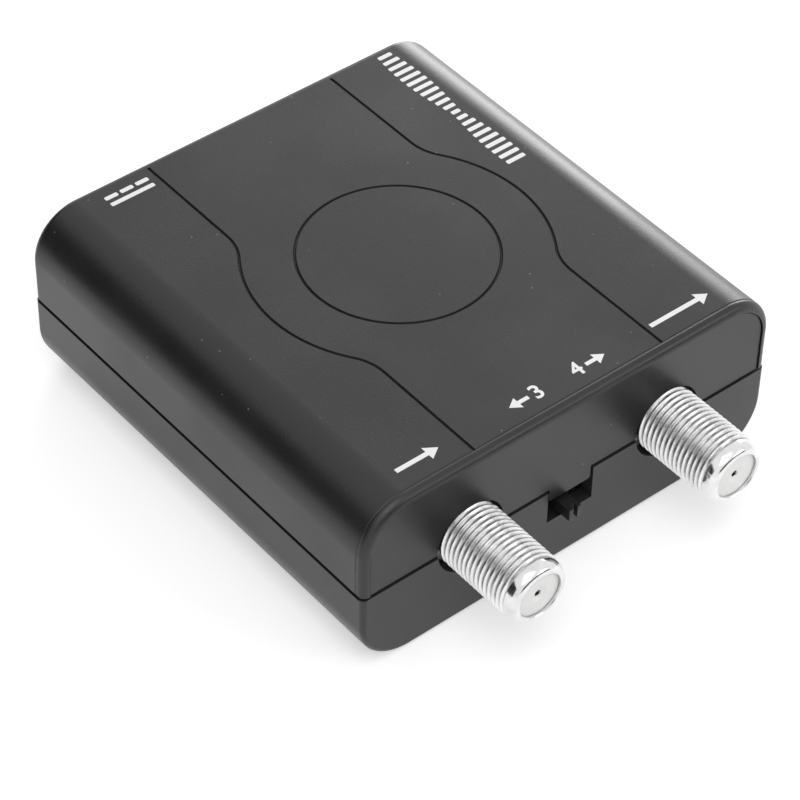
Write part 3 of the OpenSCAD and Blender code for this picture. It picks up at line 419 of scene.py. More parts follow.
def flat_curve(name, outlines, closed=True):
    """A flat curve through the given outlines."""
    data = bpy.data.curves.new(name, "CURVE")
    data.dimensions = "2D"
    data.fill_mode = "NONE"
    for outline in outlines:
        spline = data.splines.new("POLY")
        spline.points.add(len(outline) - 1)
        for point, place in zip(spline.points, outline):
            point.co = (*place, 0, 1)
        spline.use_cyclic_u = closed
    obj = bpy.data.objects.new(name, data)
    bpy.context.collection.objects.link(obj)
    return obj


def to_mesh(obj, name):
    """Turns a curve or a text into a mesh with its place in it."""
    activate(obj)
    bpy.ops.object.convert(target="MESH")
    take_place(bpy.context.object, name)
    with editing(obj):
        face_outwards()
    return obj


def add_sweep(name, path, section, height, closed):
    """A closed section swept along a flat path at a height."""
    curve = flat_curve(name, [path], closed)
    outline = flat_curve(name + "_section", [section])
    curve.data.bevel_mode = "OBJECT"
    curve.data.bevel_object = outline
    curve.data.use_fill_caps = True
    curve.location.z = height
    sweep = to_mesh(curve, name)
    bpy.data.objects.remove(outline)
    return sweep


def combine(obj, tool, operation):
    """Adds, cuts or keeps the common part of two forms, and deletes the second."""
    activate(obj)
    modifier = obj.modifiers.new(operation.title(), "BOOLEAN")
    modifier.operation = operation
    modifier.solver = "EXACT"
    modifier.object = tool
    bpy.ops.object.modifier_apply(modifier=modifier.name)
    bpy.data.objects.remove(tool)
    if not obj.data.polygons:
        raise RuntimeError(obj.name + " came out empty")
    return obj


def cut(obj, *tools):
    """Cuts forms out of another."""
    for tool in tools:
        combine(obj, tool, "DIFFERENCE")
    return obj


def join(obj, *others):
    """Fuses forms to another."""
    for other in others:
        combine(obj, other, "UNION")
    return obj


def gather(name, pieces):
    """Puts separate forms in one object."""
    activate(pieces[0])
    for piece in pieces[1:]:
        piece.select_set(True)
    if len(pieces) > 1:
        bpy.ops.object.join()
    return take_place(pieces[0], name)


def copied(obj, offset):
    """A copy of a form with its own mesh, moved by an offset."""
    twin = obj.copy()
    twin.data = obj.data.copy()
    bpy.context.collection.objects.link(twin)
    twin.location = offset
    return take_place(twin, obj.name + "_copy")


def arc(centre, radius, start, end, steps):
    """Points of an arc in a plane, with its angles in radians."""
    angles = [start + (end - start) * i / steps for i in range(steps + 1)]
    return [(centre[0] + radius * cos(a), centre[1] + radius * sin(a)) for a in angles]


def skin_of(obj):
    """The outside of a form as it stands, to tell its own faces from those that later cuts bring."""
    mesh = obj.data
    return BVHTree.FromPolygons([v.co for v in mesh.vertices], [p.vertices for p in mesh.polygons])


def shade_inside(obj, skin, material):
    """Gives a second, darker finish to every face that doesn't lie on the skin: painted shade in joints,
    holes and grooves.
    """
    obj.data.materials.append(material)
    for face in obj.data.polygons:
        if skin.find_nearest(face.center)[3] > SKIN:
            face.material_index = 1


def finish_piece(obj, body, nodes, slot, smooth=35):
    """Smooths a piece, gives it its slot's finish, and lets it ride on a body in place of its CAD nodes.

    A piece that stands for no node has no slot in the record.
    """
    activate(obj)
    bpy.ops.object.shade_smooth_by_angle(angle=radians(smooth))
    weighted = obj.modifiers.new("Weighted Normal", "WEIGHTED_NORMAL")
    weighted.keep_sharp = True
    bpy.ops.object.modifier_apply(modifier=weighted.name)
    obj.data.materials.clear()
    obj.data.materials.append(finishes[slot])
    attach(obj, body)
    if nodes:
        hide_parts(*nodes)
    deselect()


# Finishes

# Depths of the metals' streaks, the board's tracks and the winding's turns
METAL_BUMP = 0.002 * MM
NICKEL_BUMP = 0.004 * MM
TRACK_BUMP = 0.02 * MM
WIRE_BUMP = 0.05 * MM
# Features to a metre: slow tone drift and dust on plastic, tarnish on metal
DRIFT_SCALE = 55
DUST_SCALE = 290.0
TARNISH_SCALE = 240
# The same for the patches of painted shade in the thread, the plating's clouds and its scratches
SHADE_PATCH_SCALE = 900
PLATING_SCALE = 420
SCRATCH_SCALE = 1300
# The same for the board's tracks, its dots and its gloss, and for the wire's turns
TRACK_SCALE = 260.0
DOT_SCALE = 240.0
RESIST_SCALE = 400
TURN_SCALE = 900.0
# Radii between which a speck of dust fades, as shares of the room that it has
DUST_RADII = (0.02, 0.045)
DUST_COLOUR = (0.3, 0.3, 0.3, 1)
# Depths in the thread between which the painted valley shade fades, as shares of its whole depth
SHADE_DEPTHS = (0.95, 0.45)
# What the nose's roughness runs between, and how much duller the thread is
NOSE_ROUGHNESS = (0.08, 0.22)
THREAD_DULLNESS = 0.12
SOLDER_COLOUR = (0.6, 0.6, 0.58, 1)


def new_material(name):
    """A new material with its node tree."""
    material = bpy.data.materials.new(name)
    material.use_nodes = True
    return material, material.node_tree


def add_node(tree, kind, inputs=None, **settings):
    """Adds a shader node, with its inputs as values or as links."""
    made = tree.nodes.new(kind)
    for key, value in settings.items():
        setattr(made, key, value)
    for key, value in (inputs or {}).items():
        if isinstance(value, bpy.types.NodeSocket):
            tree.links.new(value, made.inputs[key])
        else:
            made.inputs[key].default_value = value
    return made


def start_finish(name, base, roughness, metallic=0.0):
    """A new material with its shader, and the socket of the object's own coordinates."""
    material, tree = new_material(name)
    shader = tree.nodes["Principled BSDF"]
    shader.inputs["Base Color"].default_value = (*base, 1)
    shader.inputs["Roughness"].default_value = roughness
    shader.inputs["Metallic"].default_value = metallic
    place = add_node(tree, "ShaderNodeTexCoord").outputs["Object"]
    return material, tree, shader, place


def add_noise(tree, place, scale, detail=2.0, stretch=None):
    """Noise with a number of features to a metre, drawn out along an axis where asked."""
    if stretch:
        place = add_node(tree, "ShaderNodeMapping", {"Vector": place, "Scale": stretch}).outputs["Vector"]
    made = add_node(tree, "ShaderNodeTexNoise", {"Vector": place, "Scale": scale, "Detail": detail})
    return made.outputs["Fac"]


def ranged(tree, value, low, high, from_low=0.3, from_high=0.7):
    """Spreads a noise value over a range."""
    made = add_node(tree, "ShaderNodeMapRange", {
        "Value": value, "From Min": from_low, "From Max": from_high, "To Min": low, "To Max": high})
    return made.outputs["Result"]


def blended(tree, factor, first, second):
    """A colour between two, which may be values or sockets."""
    made = add_node(tree, "ShaderNodeMix", data_type="RGBA")
    pairs = ((made.inputs["Factor"], factor), (made.inputs[6], first), (made.inputs[7], second))
    for socket, value in pairs:
        if isinstance(value, bpy.types.NodeSocket):
            tree.links.new(value, socket)
        else:
            socket.default_value = value
    return made.outputs[2]


def reckoned(tree, operation, *values):
    """The outcome of one sum between values or sockets."""
    return add_node(tree, "ShaderNodeMath", dict(enumerate(values)), operation=operation).outputs[0]


def feed(tree, shader, name, value):
    """Links a socket to one of the shader's inputs."""
    tree.links.new(value, shader.inputs[name])


def shaded(base, factor):
    """A colour made lighter or darker, with its alpha."""
    return (*(min(1, c * factor) for c in base), 1)


def add_bumps(tree, shader, *layers):
    """Chains bumps, each a height socket with its depth, into the shader's normal."""
    normal = None
    for height, depth in layers:
        inputs = {"Height": height, "Distance": depth, "Strength": 1.0}
        if normal:
            inputs["Normal"] = normal
        normal = add_node(tree, "ShaderNodeBump", inputs).outputs["Normal"]
    feed(tree, shader, "Normal", normal)


def plastic_finish(name, base, roughness, grain, depth, specks=0.0, mottle=0.2):
    """Moulded plastic: a fine spark grain, slow tone drift, and sparse pale dust where asked."""
    material, tree, shader, place = start_finish(name, base, roughness)
    drift = ranged(tree, add_noise(tree, place, DRIFT_SCALE, 3), 0, 1)
    tone = blended(tree, drift, shaded(base, 1 - mottle / 2), shaded(base, 1 + mottle / 2))
    fine = add_noise(tree, place, grain, 3)
    mottled = blended(tree, ranged(tree, fine, 0, 1), shaded(base, 1 - mottle), tone)
    if specks:
        dust = add_node(tree, "ShaderNodeTexVoronoi", {"Vector": place, "Scale": DUST_SCALE})
        near = ranged(tree, dust.outputs["Distance"], specks, 0, *DUST_RADII)
        mottled = blended(tree, near, mottled, DUST_COLOUR)
    feed(tree, shader, "Base Color", mottled)
    feed(tree, shader, "Roughness", ranged(tree, drift, roughness - 0.03, roughness + 0.03))
    add_bumps(tree, shader, (fine, depth), (add_noise(tree, place, grain / 3, 2), depth / 6))
    return material


def metal_finish(name, base, roughness, scale=900.0, stretch=None):
    """Metal: soft tarnish, fine streaks in the direction asked, and roughness that varies with them."""
    material, tree, shader, place = start_finish(name, base, roughness, 1.0)
    cloud = ranged(tree, add_noise(tree, place, TARNISH_SCALE, 3), 0, 1)
    feed(tree, shader, "Base Color", blended(tree, cloud, shaded(base, 0.85), shaded(base, 1.05)))
    streaks = add_noise(tree, place, scale, 4, stretch)
    feed(tree, shader, "Roughness", ranged(tree, streaks, roughness * 0.7, roughness * 1.4))
    add_bumps(tree, shader, (streaks, METAL_BUMP))
    return material


def nickel_finish(name, base):
    """Bright plating, with painted shade darkening the valleys of the two connectors' threads."""
    material, tree, shader, place = start_finish(name, base, 0.14, 1.0)
    axis = mount_place("rf_out_thread")
    crest = mount_radius("rf_out_thread")
    sizes = bpy.context.scene.connector_sizes
    parts = add_node(tree, "ShaderNodeSeparateXYZ", {0: place}).outputs
    across = reckoned(tree, "ABSOLUTE", parts["X"])
    centred = add_node(tree, "ShaderNodeCombineXYZ", {"X": across, "Z": parts["Z"]}).outputs[0]
    away = add_node(tree, "ShaderNodeVectorMath", {0: centred, 1: (axis.x, 0, axis.z)},
                    operation="DISTANCE").outputs["Value"]
    low, high = [crest - sizes.thread_depth * share for share in SHADE_DEPTHS]
    valley = ranged(tree, away, 1, 0, low, high)
    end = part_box("rf_out_connector_body")[0].y + sizes.thread_end
    behind = ranged(tree, parts["Y"], 0, 1, end - sizes.shade_lead, end + sizes.shade_fade)
    shade_patches = ranged(tree, add_noise(tree, place, SHADE_PATCH_SCALE, 3), 0.55, 1)
    # Painted shade: darkens the thread's valleys in patches, behind the thread's end
    painted_shade_mask = reckoned(tree, "MULTIPLY", reckoned(tree, "MULTIPLY", valley, behind), shade_patches)
    cloud = ranged(tree, add_noise(tree, place, PLATING_SCALE, 3), 0, 1)
    plating = blended(tree, cloud, shaded(base, 0.86), shaded(base, 1.08))
    valley_shade = (*bpy.context.scene.finish_colours.valley_shade, 1)
    feed(tree, shader, "Base Color", blended(tree, painted_shade_mask, plating, valley_shade))
    streaks = add_noise(tree, place, SCRATCH_SCALE, 4)
    gloss = ranged(tree, streaks, *NOSE_ROUGHNESS)
    feed(tree, shader, "Roughness", reckoned(tree, "MULTIPLY_ADD", behind, THREAD_DULLNESS, gloss))
    add_bumps(tree, shader, (streaks, NICKEL_BUMP))
    return material


def board_finish(name, base):
    """Solder resist over copper tracks, with tinned dots at the crossings."""
    material, tree, shader, place = start_finish(name, base, 0.32)
    turned = add_node(tree, "ShaderNodeMapping", {"Vector": place, "Rotation": (0, 0, radians(45))})
    tracks = add_node(tree, "ShaderNodeTexBrick", {
        "Vector": turned.outputs["Vector"], "Scale": TRACK_SCALE, "Mortar Size": 0.012, "Mortar Smooth": 0.1,
        "Color1": shaded(base, 0.85), "Color2": shaded(base, 1.0), "Mortar": shaded(base, 2.4)})
    dots = add_node(tree, "ShaderNodeTexVoronoi", {"Vector": place, "Scale": DOT_SCALE})
    via = ranged(tree, dots.outputs["Distance"], 1, 0, 0.10, 0.12)
    feed(tree, shader, "Base Color", blended(tree, via, tracks.outputs["Color"], SOLDER_COLOUR))
    feed(tree, shader, "Roughness", ranged(tree, add_noise(tree, place, RESIST_SCALE), 0.26, 0.4))
    add_bumps(tree, shader, (tracks.outputs["Fac"], TRACK_BUMP))
    return material


def winding_finish(name, base):
    """Enamelled wire wound in even turns."""
    material, tree, shader, place = start_finish(name, base, 0.25, 0.6)
    turns = add_node(tree, "ShaderNodeTexWave", {"Vector": place, "Scale": TURN_SCALE, "Distortion": 0.4},
                     bands_direction="Z")
    tone = blended(tree, turns.outputs["Fac"], shaded(base, 0.35), shaded(base, 1.15))
    feed(tree, shader, "Base Color", tone)
    add_bumps(tree, shader, (turns.outputs["Fac"], WIRE_BUMP))
    return material


# Every finish by its slot's name in the record: its kind, its colour's name and its own values
FINISHES = {
    "case_plastic": (plastic_finish, "case",
                     dict(roughness=0.34, grain=4800.0, depth=0.021 * MM, specks=0.5)),
    # The near-black finish that paints shade on inner faces
    "case_inside": (plastic_finish, "inside", dict(roughness=0.7, grain=2400.0, depth=0.004 * MM)),
    "connector_nickel": (nickel_finish, "nickel", {}),
    "insulator_white": (plastic_finish, "insulator",
                        dict(roughness=0.35, grain=1400.0, depth=0.002 * MM, mottle=0.03)),
    "contact_gold": (metal_finish, "gold", dict(roughness=0.2)),
    "screw_steel": (metal_finish, "screw", dict(roughness=0.28, scale=1800.0, stretch=(1, 1, 0.1))),
    "sheet_steel": (metal_finish, "sheet", dict(roughness=0.26, scale=1600.0, stretch=(1, 0.06, 1))),
    "board_green": (board_finish, "board", {}),
    "switch_black": (plastic_finish, "switch", dict(roughness=0.38, grain=3200.0, depth=0.004 * MM)),
    "chip_black": (plastic_finish, "chip", dict(roughness=0.5, grain=3000.0, depth=0.008 * MM)),
    "lead_tin": (metal_finish, "tin", dict(roughness=0.3)),
    "capacitor_aluminium": (metal_finish, "can", dict(roughness=0.34, scale=1500.0, stretch=(1, 1, 0.08))),
    "crystal_steel": (metal_finish, "can", dict(roughness=0.22, scale=1500.0, stretch=(0.08, 1, 1))),
    "copper_wire": (winding_finish, "copper", {}),
    "ceramic_tan": (plastic_finish, "ceramic", dict(roughness=0.5, grain=2200.0, depth=0.006 * MM)),
    "resistor_black": (plastic_finish, "chip", dict(roughness=0.3, grain=2600.0, depth=0.003 * MM)),
    "print_white": (plastic_finish, "printing",
                    dict(roughness=0.5, grain=3000.0, depth=0.002 * MM, mottle=0.04)),
}
# The finished materials, by the same names
finishes = {}


# Places that several pieces share

def case_box():
    """The lowest and highest corners of the closed case."""
    low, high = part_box("lower_cover")
    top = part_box("upper_cover")[1]
    return low, Vector((high.x, high.y, top.z))


def mount(name):
    """One of the record's mounts."""
    for row in frame["record"]["mounts"]:
        if row["name"] == name:
            return row
    raise RuntimeError("the record has no mount named " + name)


def mount_place(name):
    """The place of one of the record's mounts."""
    return Vector(mount(name)["pos_m"])


def mount_radius(name):
    """The radius of one of the record's round mounts."""
    return mount(name)["dims"]["r_mm"] * MM


def screw_places():
    """The four case screws' axes, from the box of all four and one head's radius."""
    low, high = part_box("case_screws")
    head = CASE_HEAD_RADIUS
    return [Vector((x, y, 0)) for x in (low.x + head, high.x - head) for y in (low.y + head, high.y - head)]


def board_screw_places():
    """The two board screws' axes."""
    low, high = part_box("board_screws")
    head = BOARD_HEAD_RADIUS
    return [Vector((low.x + head, 0, 0)), Vector((high.x - head, 0, 0))]


class MODULATOR_OT_finishes(bpy.types.Operator):
    """Make every finish and give the CAD nodes theirs"""
    bl_idname = "modulator.finishes"
    bl_label = "Finishes"

    def execute(self, context):
        for name, (make, colour_name, values) in FINISHES.items():
            finishes[name] = make(name, getattr(context.scene.finish_colours, colour_name), **values)
        for row in frame["record"]["subparts"]:
            data = frame["nodes"][row["node"]].data
            data.materials.clear()
            data.materials.append(finishes[row["material_slot"]])
        return {"FINISHED"}


def case_form(name, rim, sizes, panels, setback=0.0):
    """The whole outside of the case, with rounded long edges and rims and, where asked, sunk end panels.

    The front rim of a case with panels is parted from its top by a shallow valley.
    """
    low, high = case_box()
    low = low + X_AXIS * setback
    high = high - Vector((setback, 0, PRINT))
    form = add_block(name, low, high)
    halfway = (low.z + high.z) / 2
    with editing(form):
        pick("EDGE", lambda e: runs_along(e, Y) and e.verts[0].co.z > halfway)
        bevel(sizes.top_corner, 24)
        pick("EDGE", lambda e: runs_along(e, Y) and on_plane(e, Z, low.z)
             and abs(e.verts[0].co.x) > high.x - TOUCH)
        bevel(sizes.bottom_corner, 24)
        pick("EDGE", lambda e: on_plane(e, Y, low.y) or on_plane(e, Y, high.y))
        bevel(rim, 8)
        if panels:
            valley = high.y - rim - sizes.valley_back
            for place in (-valley, sizes.valley_width - valley):
                slice_at((0, place, 0), Y_AXIS)
            pick("VERT", lambda v: abs(v.co.y + valley) < TOUCH)
            bpy.ops.transform.shrink_fatten(value=-sizes.rim_dip)
            pick("FACE", lambda f: on_plane(f, Y, low.y) or on_plane(f, Y, high.y))
            bpy.ops.mesh.inset(thickness=sizes.land, depth=0)
            step = sizes.crease_width / 4
            bpy.ops.mesh.inset(thickness=step, depth=-sizes.panel_recess - sizes.crease_depth)
            bpy.ops.mesh.inset(thickness=2 * step, depth=0)
            bpy.ops.mesh.inset(thickness=step, depth=sizes.crease_depth)
    return form


def part_case(obj, height, dropped, sizes):
    """Cuts the case's form at a height, drops one side and softens the long outer edges of the cut."""
    least = 10 * MM
    with editing(obj):
        slice_at((0, 0, height), dropped, True)
        pick("EDGE", lambda e: on_plane(e, Z, height) and e.calc_length() > least)
        bevel(sizes.ease, 3)


def add_bosses(cover, places, low, high, radius):
    """Fuses an upright boss to a cover at each place."""
    for place in places:
        join(cover, add_column("boss", place, low, high, radius))


def drill(cover, places, low, high, radius):
    """Drills an upright hole at each place."""
    for place in places:
        cut(cover, add_column("pilot", place, low, high, radius, 24))


def side_joints(sizes):
    """The cuts that widen the joint along the two long sides."""
    low, high = case_box()
    half = sizes.gap / 2 + sizes.side_gap
    depth = sizes.side_gap_depth
    spans = ((low.x - OVER, low.x + depth), (high.x - depth, high.x + OVER))
    return [add_block("side_joint", (left, low.y + sizes.lower_rim, sizes.parting - half),
                      (right, high.y - sizes.lower_rim, sizes.parting + half)) for left, right in spans]


def hollow_form(sizes):
    """The space inside the case."""
    low, high = case_box()
    wall = Vector((sizes.wall,) * 3)
    form = add_block("hollow", low + wall, high - wall)
    halfway = (low.z + high.z) / 2
    with editing(form):
        pick("EDGE", lambda e: runs_along(e, Y) and e.verts[0].co.z > halfway)
        bevel(sizes.top_corner - sizes.wall, 10)
        pick("EDGE", lambda e: runs_along(e, Y) and on_plane(e, Z, low.z + sizes.wall)
             and abs(e.verts[0].co.x) > high.x - sizes.wall - TOUCH)
        bevel(sizes.bottom_corner - sizes.wall, 10)
    return form


def lip_block(name, grow, low, high, sizes):
    """A block as wide as the case's hollow, grown at its sides."""
    box_low, box_high = case_box()
    side = sizes.wall - grow
    return add_block(name, (box_low.x + side, box_low.y + side, low),
                     (box_high.x - side, box_high.y - side, high))


def connector_openings(sizes):
    """The round cuts for the two connectors, with a slight flare at the face."""
    front = case_box()[0].y
    cuts = []
    for name in ("rf_in_thread", "rf_out_thread"):
        place = mount_place(name)
        ease, face = sizes.ease, sizes.panel_recess
        outline = [(0, -OVER), (sizes.hole + 2 * ease, -OVER), (sizes.hole + 2 * ease, face - ease),
                   (sizes.hole, face + ease), (sizes.hole, sizes.wall + OVER), (0, sizes.wall + OVER)]
        cuts.append(add_lathe("opening", (place.x, front, place.z - sizes.hole_drop), Y_AXIS, outline))
    return cuts


def inlet_openings(sizes):
    """The cuts for the two inlets in the back, with rounded corners."""
    cuts = []
    back = case_box()[1].y
    for name in ("power_inlet_shell", "video_inlet_shell"):
        low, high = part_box(name)
        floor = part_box("circuit_board")[1].z
        top = floor + inlet_height(name)
        gap = sizes.inlet_gap
        opening = add_block("opening", (low.x - gap, back - sizes.wall - OVER, floor - gap),
                            (high.x + gap, back + OVER, top + gap))
        with editing(opening):
            pick("EDGE", lambda e: runs_along(e, Y))
            bevel(gap, 4)
        cuts.append(opening)
    return cuts


def inlet_height(name):
    """The height of an inlet's shell above the board."""
    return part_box(name)[1].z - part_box("circuit_board")[1].z


def wavy_path(sizes, end):
    """The right wavy groove's line: straight, bend, bulge, bend, straight."""
    bend_x = sizes.offset + sizes.bend
    bend_y = sqrt((sizes.bulge + sizes.bend) ** 2 - bend_x ** 2)
    turn = atan2(bend_y, bend_x)
    return ([(sizes.offset, -end)]
            + arc((bend_x, -bend_y), sizes.bend, pi, pi - turn, 24)
            + arc((0, 0), sizes.bulge, -turn, turn, 64)[1:-1]
            + arc((bend_x, bend_y), sizes.bend, pi + turn, pi, 24)
            + [(sizes.offset, end)])


def groove_cutters(sizes, top, end):
    """The round and the two wavy groove cutters, with eased edges and a rounded floor."""
    half = sizes.width / 2
    floor = sizes.depth
    side = [(half + sizes.flare, floor), (half + sizes.flare, 0), (half, -sizes.flare),
            (half * 0.9, -floor * 0.7), (half * 0.45, -floor)]
    section = side + [(-x, y) for x, y in reversed(side)]
    path = wavy_path(sizes, end)
    ring = arc((0, 0), sizes.ring, 0, 2 * pi, 144)[:-1]
    mirrored = [(-x, y) for x, y in path]
    return [add_sweep("ring_groove", ring, section, top, True),
            add_sweep("right_groove", path, section, top, False),
            add_sweep("left_groove", mirrored, section, top, False)]


class MODULATOR_OT_upper_cover(bpy.types.Operator):
    """Mould the upper cover with its rims, panels, grooves, tab and bosses"""
    bl_idname = "modulator.upper_cover"
    bl_label = "Upper Cover"

    def execute(self, context):
        sizes = context.scene.case_sizes
        low, high = case_box()
        joint = sizes.parting + sizes.gap / 2
        cover = case_form("upper_cover_shell", sizes.upper_rim, sizes, True)
        skin = skin_of(cover)
        part_case(cover, joint, -Z_AXIS, sizes)
        rebate = lip_block("rebate", sizes.lip_thickness + sizes.lip_clearance, joint - OVER,
                           joint + sizes.lip_height + sizes.lip_clearance, sizes)
        cut(cover, hollow_form(sizes), rebate, *side_joints(sizes))
        board_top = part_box("circuit_board")[1].z
        add_bosses(cover, screw_places(), board_top, high.z - sizes.wall / 2, sizes.boss)
        join(cover, self.window_tab(sizes, low, joint))
        cut(cover, *connector_openings(sizes), *inlet_openings(sizes))
        pilot_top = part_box("case_screws")[1].z + sizes.pilot_spare
        drill(cover, screw_places(), board_top - OVER, pilot_top, sizes.pilot)
        top = high.z - PRINT
        end = high.y - sizes.upper_rim - sizes.valley_back
        cut(cover, *groove_cutters(context.scene.groove_sizes, top, end))
        finish_piece(cover, "case", ["upper_cover"], "case_plastic")
        # Painted shade on the faces that the cuts brought: joint, holes, window walls and grooves
        shade_inside(cover, skin, finishes["case_inside"])
        return {"FINISHED"}

    def window_tab(self, sizes, low, joint):
        """The tab that closes the top of the switch window."""
        side = sizes.window_width / 2 - sizes.tab_gap
        bottom = sizes.tab_bottom
        tab = add_block("tab", (-side, low.y + sizes.panel_recess, bottom),
                        (side, low.y + sizes.wall, joint + OVER / 2))
        with editing(tab):
            pick("EDGE", lambda e: runs_along(e, Y) and on_plane(e, Z, bottom))
            bevel(sizes.tab_corner, 5)
        return tab


class MODULATOR_OT_lower_cover(bpy.types.Operator):
    """Mould the lower cover with its lip, window, bosses and screw pockets"""
    bl_idname = "modulator.lower_cover"
    bl_label = "Lower Cover"

    def execute(self, context):
        sizes = context.scene.case_sizes
        low = case_box()[0]
        joint = sizes.parting - sizes.gap / 2
        cover = case_form("lower_cover_shell", sizes.lower_rim, sizes, False, sizes.setback)
        skin = skin_of(cover)
        part_case(cover, joint, Z_AXIS, sizes)
        cut(cover, hollow_form(sizes), *side_joints(sizes))
        rise = sizes.lip_height
        lip = lip_block("lip", sizes.lip_thickness, joint - rise / 2, joint + rise, sizes)
        cut(lip, lip_block("lip_inside", 0, joint - OVER, joint + 2 * rise, sizes))
        join(cover, lip)
        board_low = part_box("circuit_board")[0].z
        add_bosses(cover, screw_places(), sizes.wall / 2, board_low, sizes.boss)
        add_bosses(cover, board_screw_places(), sizes.wall / 2, board_low, sizes.board_boss)
        cut(cover, self.window(sizes, low, joint), *connector_openings(sizes), *inlet_openings(sizes))
        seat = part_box("case_screws")[0].z + CASE_HEAD_HEIGHT
        wide, ease, shank = sizes.counterbore, sizes.ease, sizes.shank_hole
        pocket = [(0, -OVER), (wide + ease, -OVER), (wide + ease, 0), (wide, ease), (wide, seat),
                  (shank, seat), (shank, board_low + OVER), (0, board_low + OVER)]
        for place in screw_places():
            cut(cover, add_lathe("pocket", place, Z_AXIS, pocket, 48))
        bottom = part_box("board_screws")[0].z - sizes.board_pilot_spare
        drill(cover, board_screw_places(), bottom, board_low + OVER, sizes.board_pilot)
        finish_piece(cover, "case", ["lower_cover"], "case_plastic")
        # Painted shade on the faces that the cuts brought: joint, lip, holes, window walls and pockets
        shade_inside(cover, skin, finishes["case_inside"])
        return {"FINISHED"}

    def window(self, sizes, low, joint):
        """The cut for the switch window, which stays open up to the joint."""
        side = sizes.window_width / 2
        return add_block("window", (-side, low.y - OVER, sizes.window_sill),
                         (side, low.y + sizes.wall + OVER, joint + 2 * OVER))


class MODULATOR_OT_case_screws(bpy.types.Operator):
    """Turn the four pan-head case screws with their cross recesses"""
    bl_idname = "modulator.case_screws"
    bl_label = "Case Screws"

    head_radius: length("Head radius", "Radius of a screw's head", CASE_HEAD_RADIUS)
    head_height: length("Head height", "Height of a screw's head", CASE_HEAD_HEIGHT)
    shank_radius: length("Shank radius", "Radius of a screw's shank", 1.25 * MM)
    point_length: length("Point length", "Length of a screw's tapered point", 0.5 * MM)
    dome_share: number("Dome share", "Height of the head's dome, as a share of the head's height", 0.45)
    cross_share: number("Cross share", "Reach of the recess's arms, as a share of the head's radius", 0.58)
    cross_width: length("Cross width", "Width of the recess's arms", 0.62 * MM)
    cross_depth: length("Cross depth", "Depth of the recess", 0.7 * MM)

    def execute(self, context):
        low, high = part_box("case_screws")
        places = screw_places()
        first = places[0] + Z_AXIS * low.z
        shank_end = high.z - low.z
        head, crown = self.head_radius, self.head_height
        turns = [radians(9 * i) for i in range(11)]
        dome = [(head * sin(a), crown * self.dome_share * (1 - cos(a))) for a in turns]
        shank = self.shank_radius
        outline = dome + [(head, crown), (shank, crown), (shank, shank_end - self.point_length),
                          (shank * 0.5, shank_end), (0, shank_end)]
        screw = add_lathe("case_screw", first, Z_AXIS, outline, 48)
        arm = head * self.cross_share
        for turn in (0, pi / 2):
            slot = add_block("cross", first + Vector((-arm, -self.cross_width / 2, -OVER)),
                             first + Vector((arm, self.cross_width / 2, self.cross_depth)))
            with editing(slot):
                pick("FACE", lambda f: on_plane(f, Z, first.z + self.cross_depth))
                bpy.ops.transform.resize(value=(0.35, 0.8, 1))
                bpy.ops.mesh.select_all(action="SELECT")
                bpy.ops.transform.rotate(value=turn, orient_axis="Z", center_override=first)
            cut(screw, slot)
        screws = [screw] + [copied(screw, place - places[0]) for place in places[1:]]
        piece = gather("case_screws_turned", screws)
        finish_piece(piece, "case", ["case_screws"], "screw_steel")
        return {"FINISHED"}


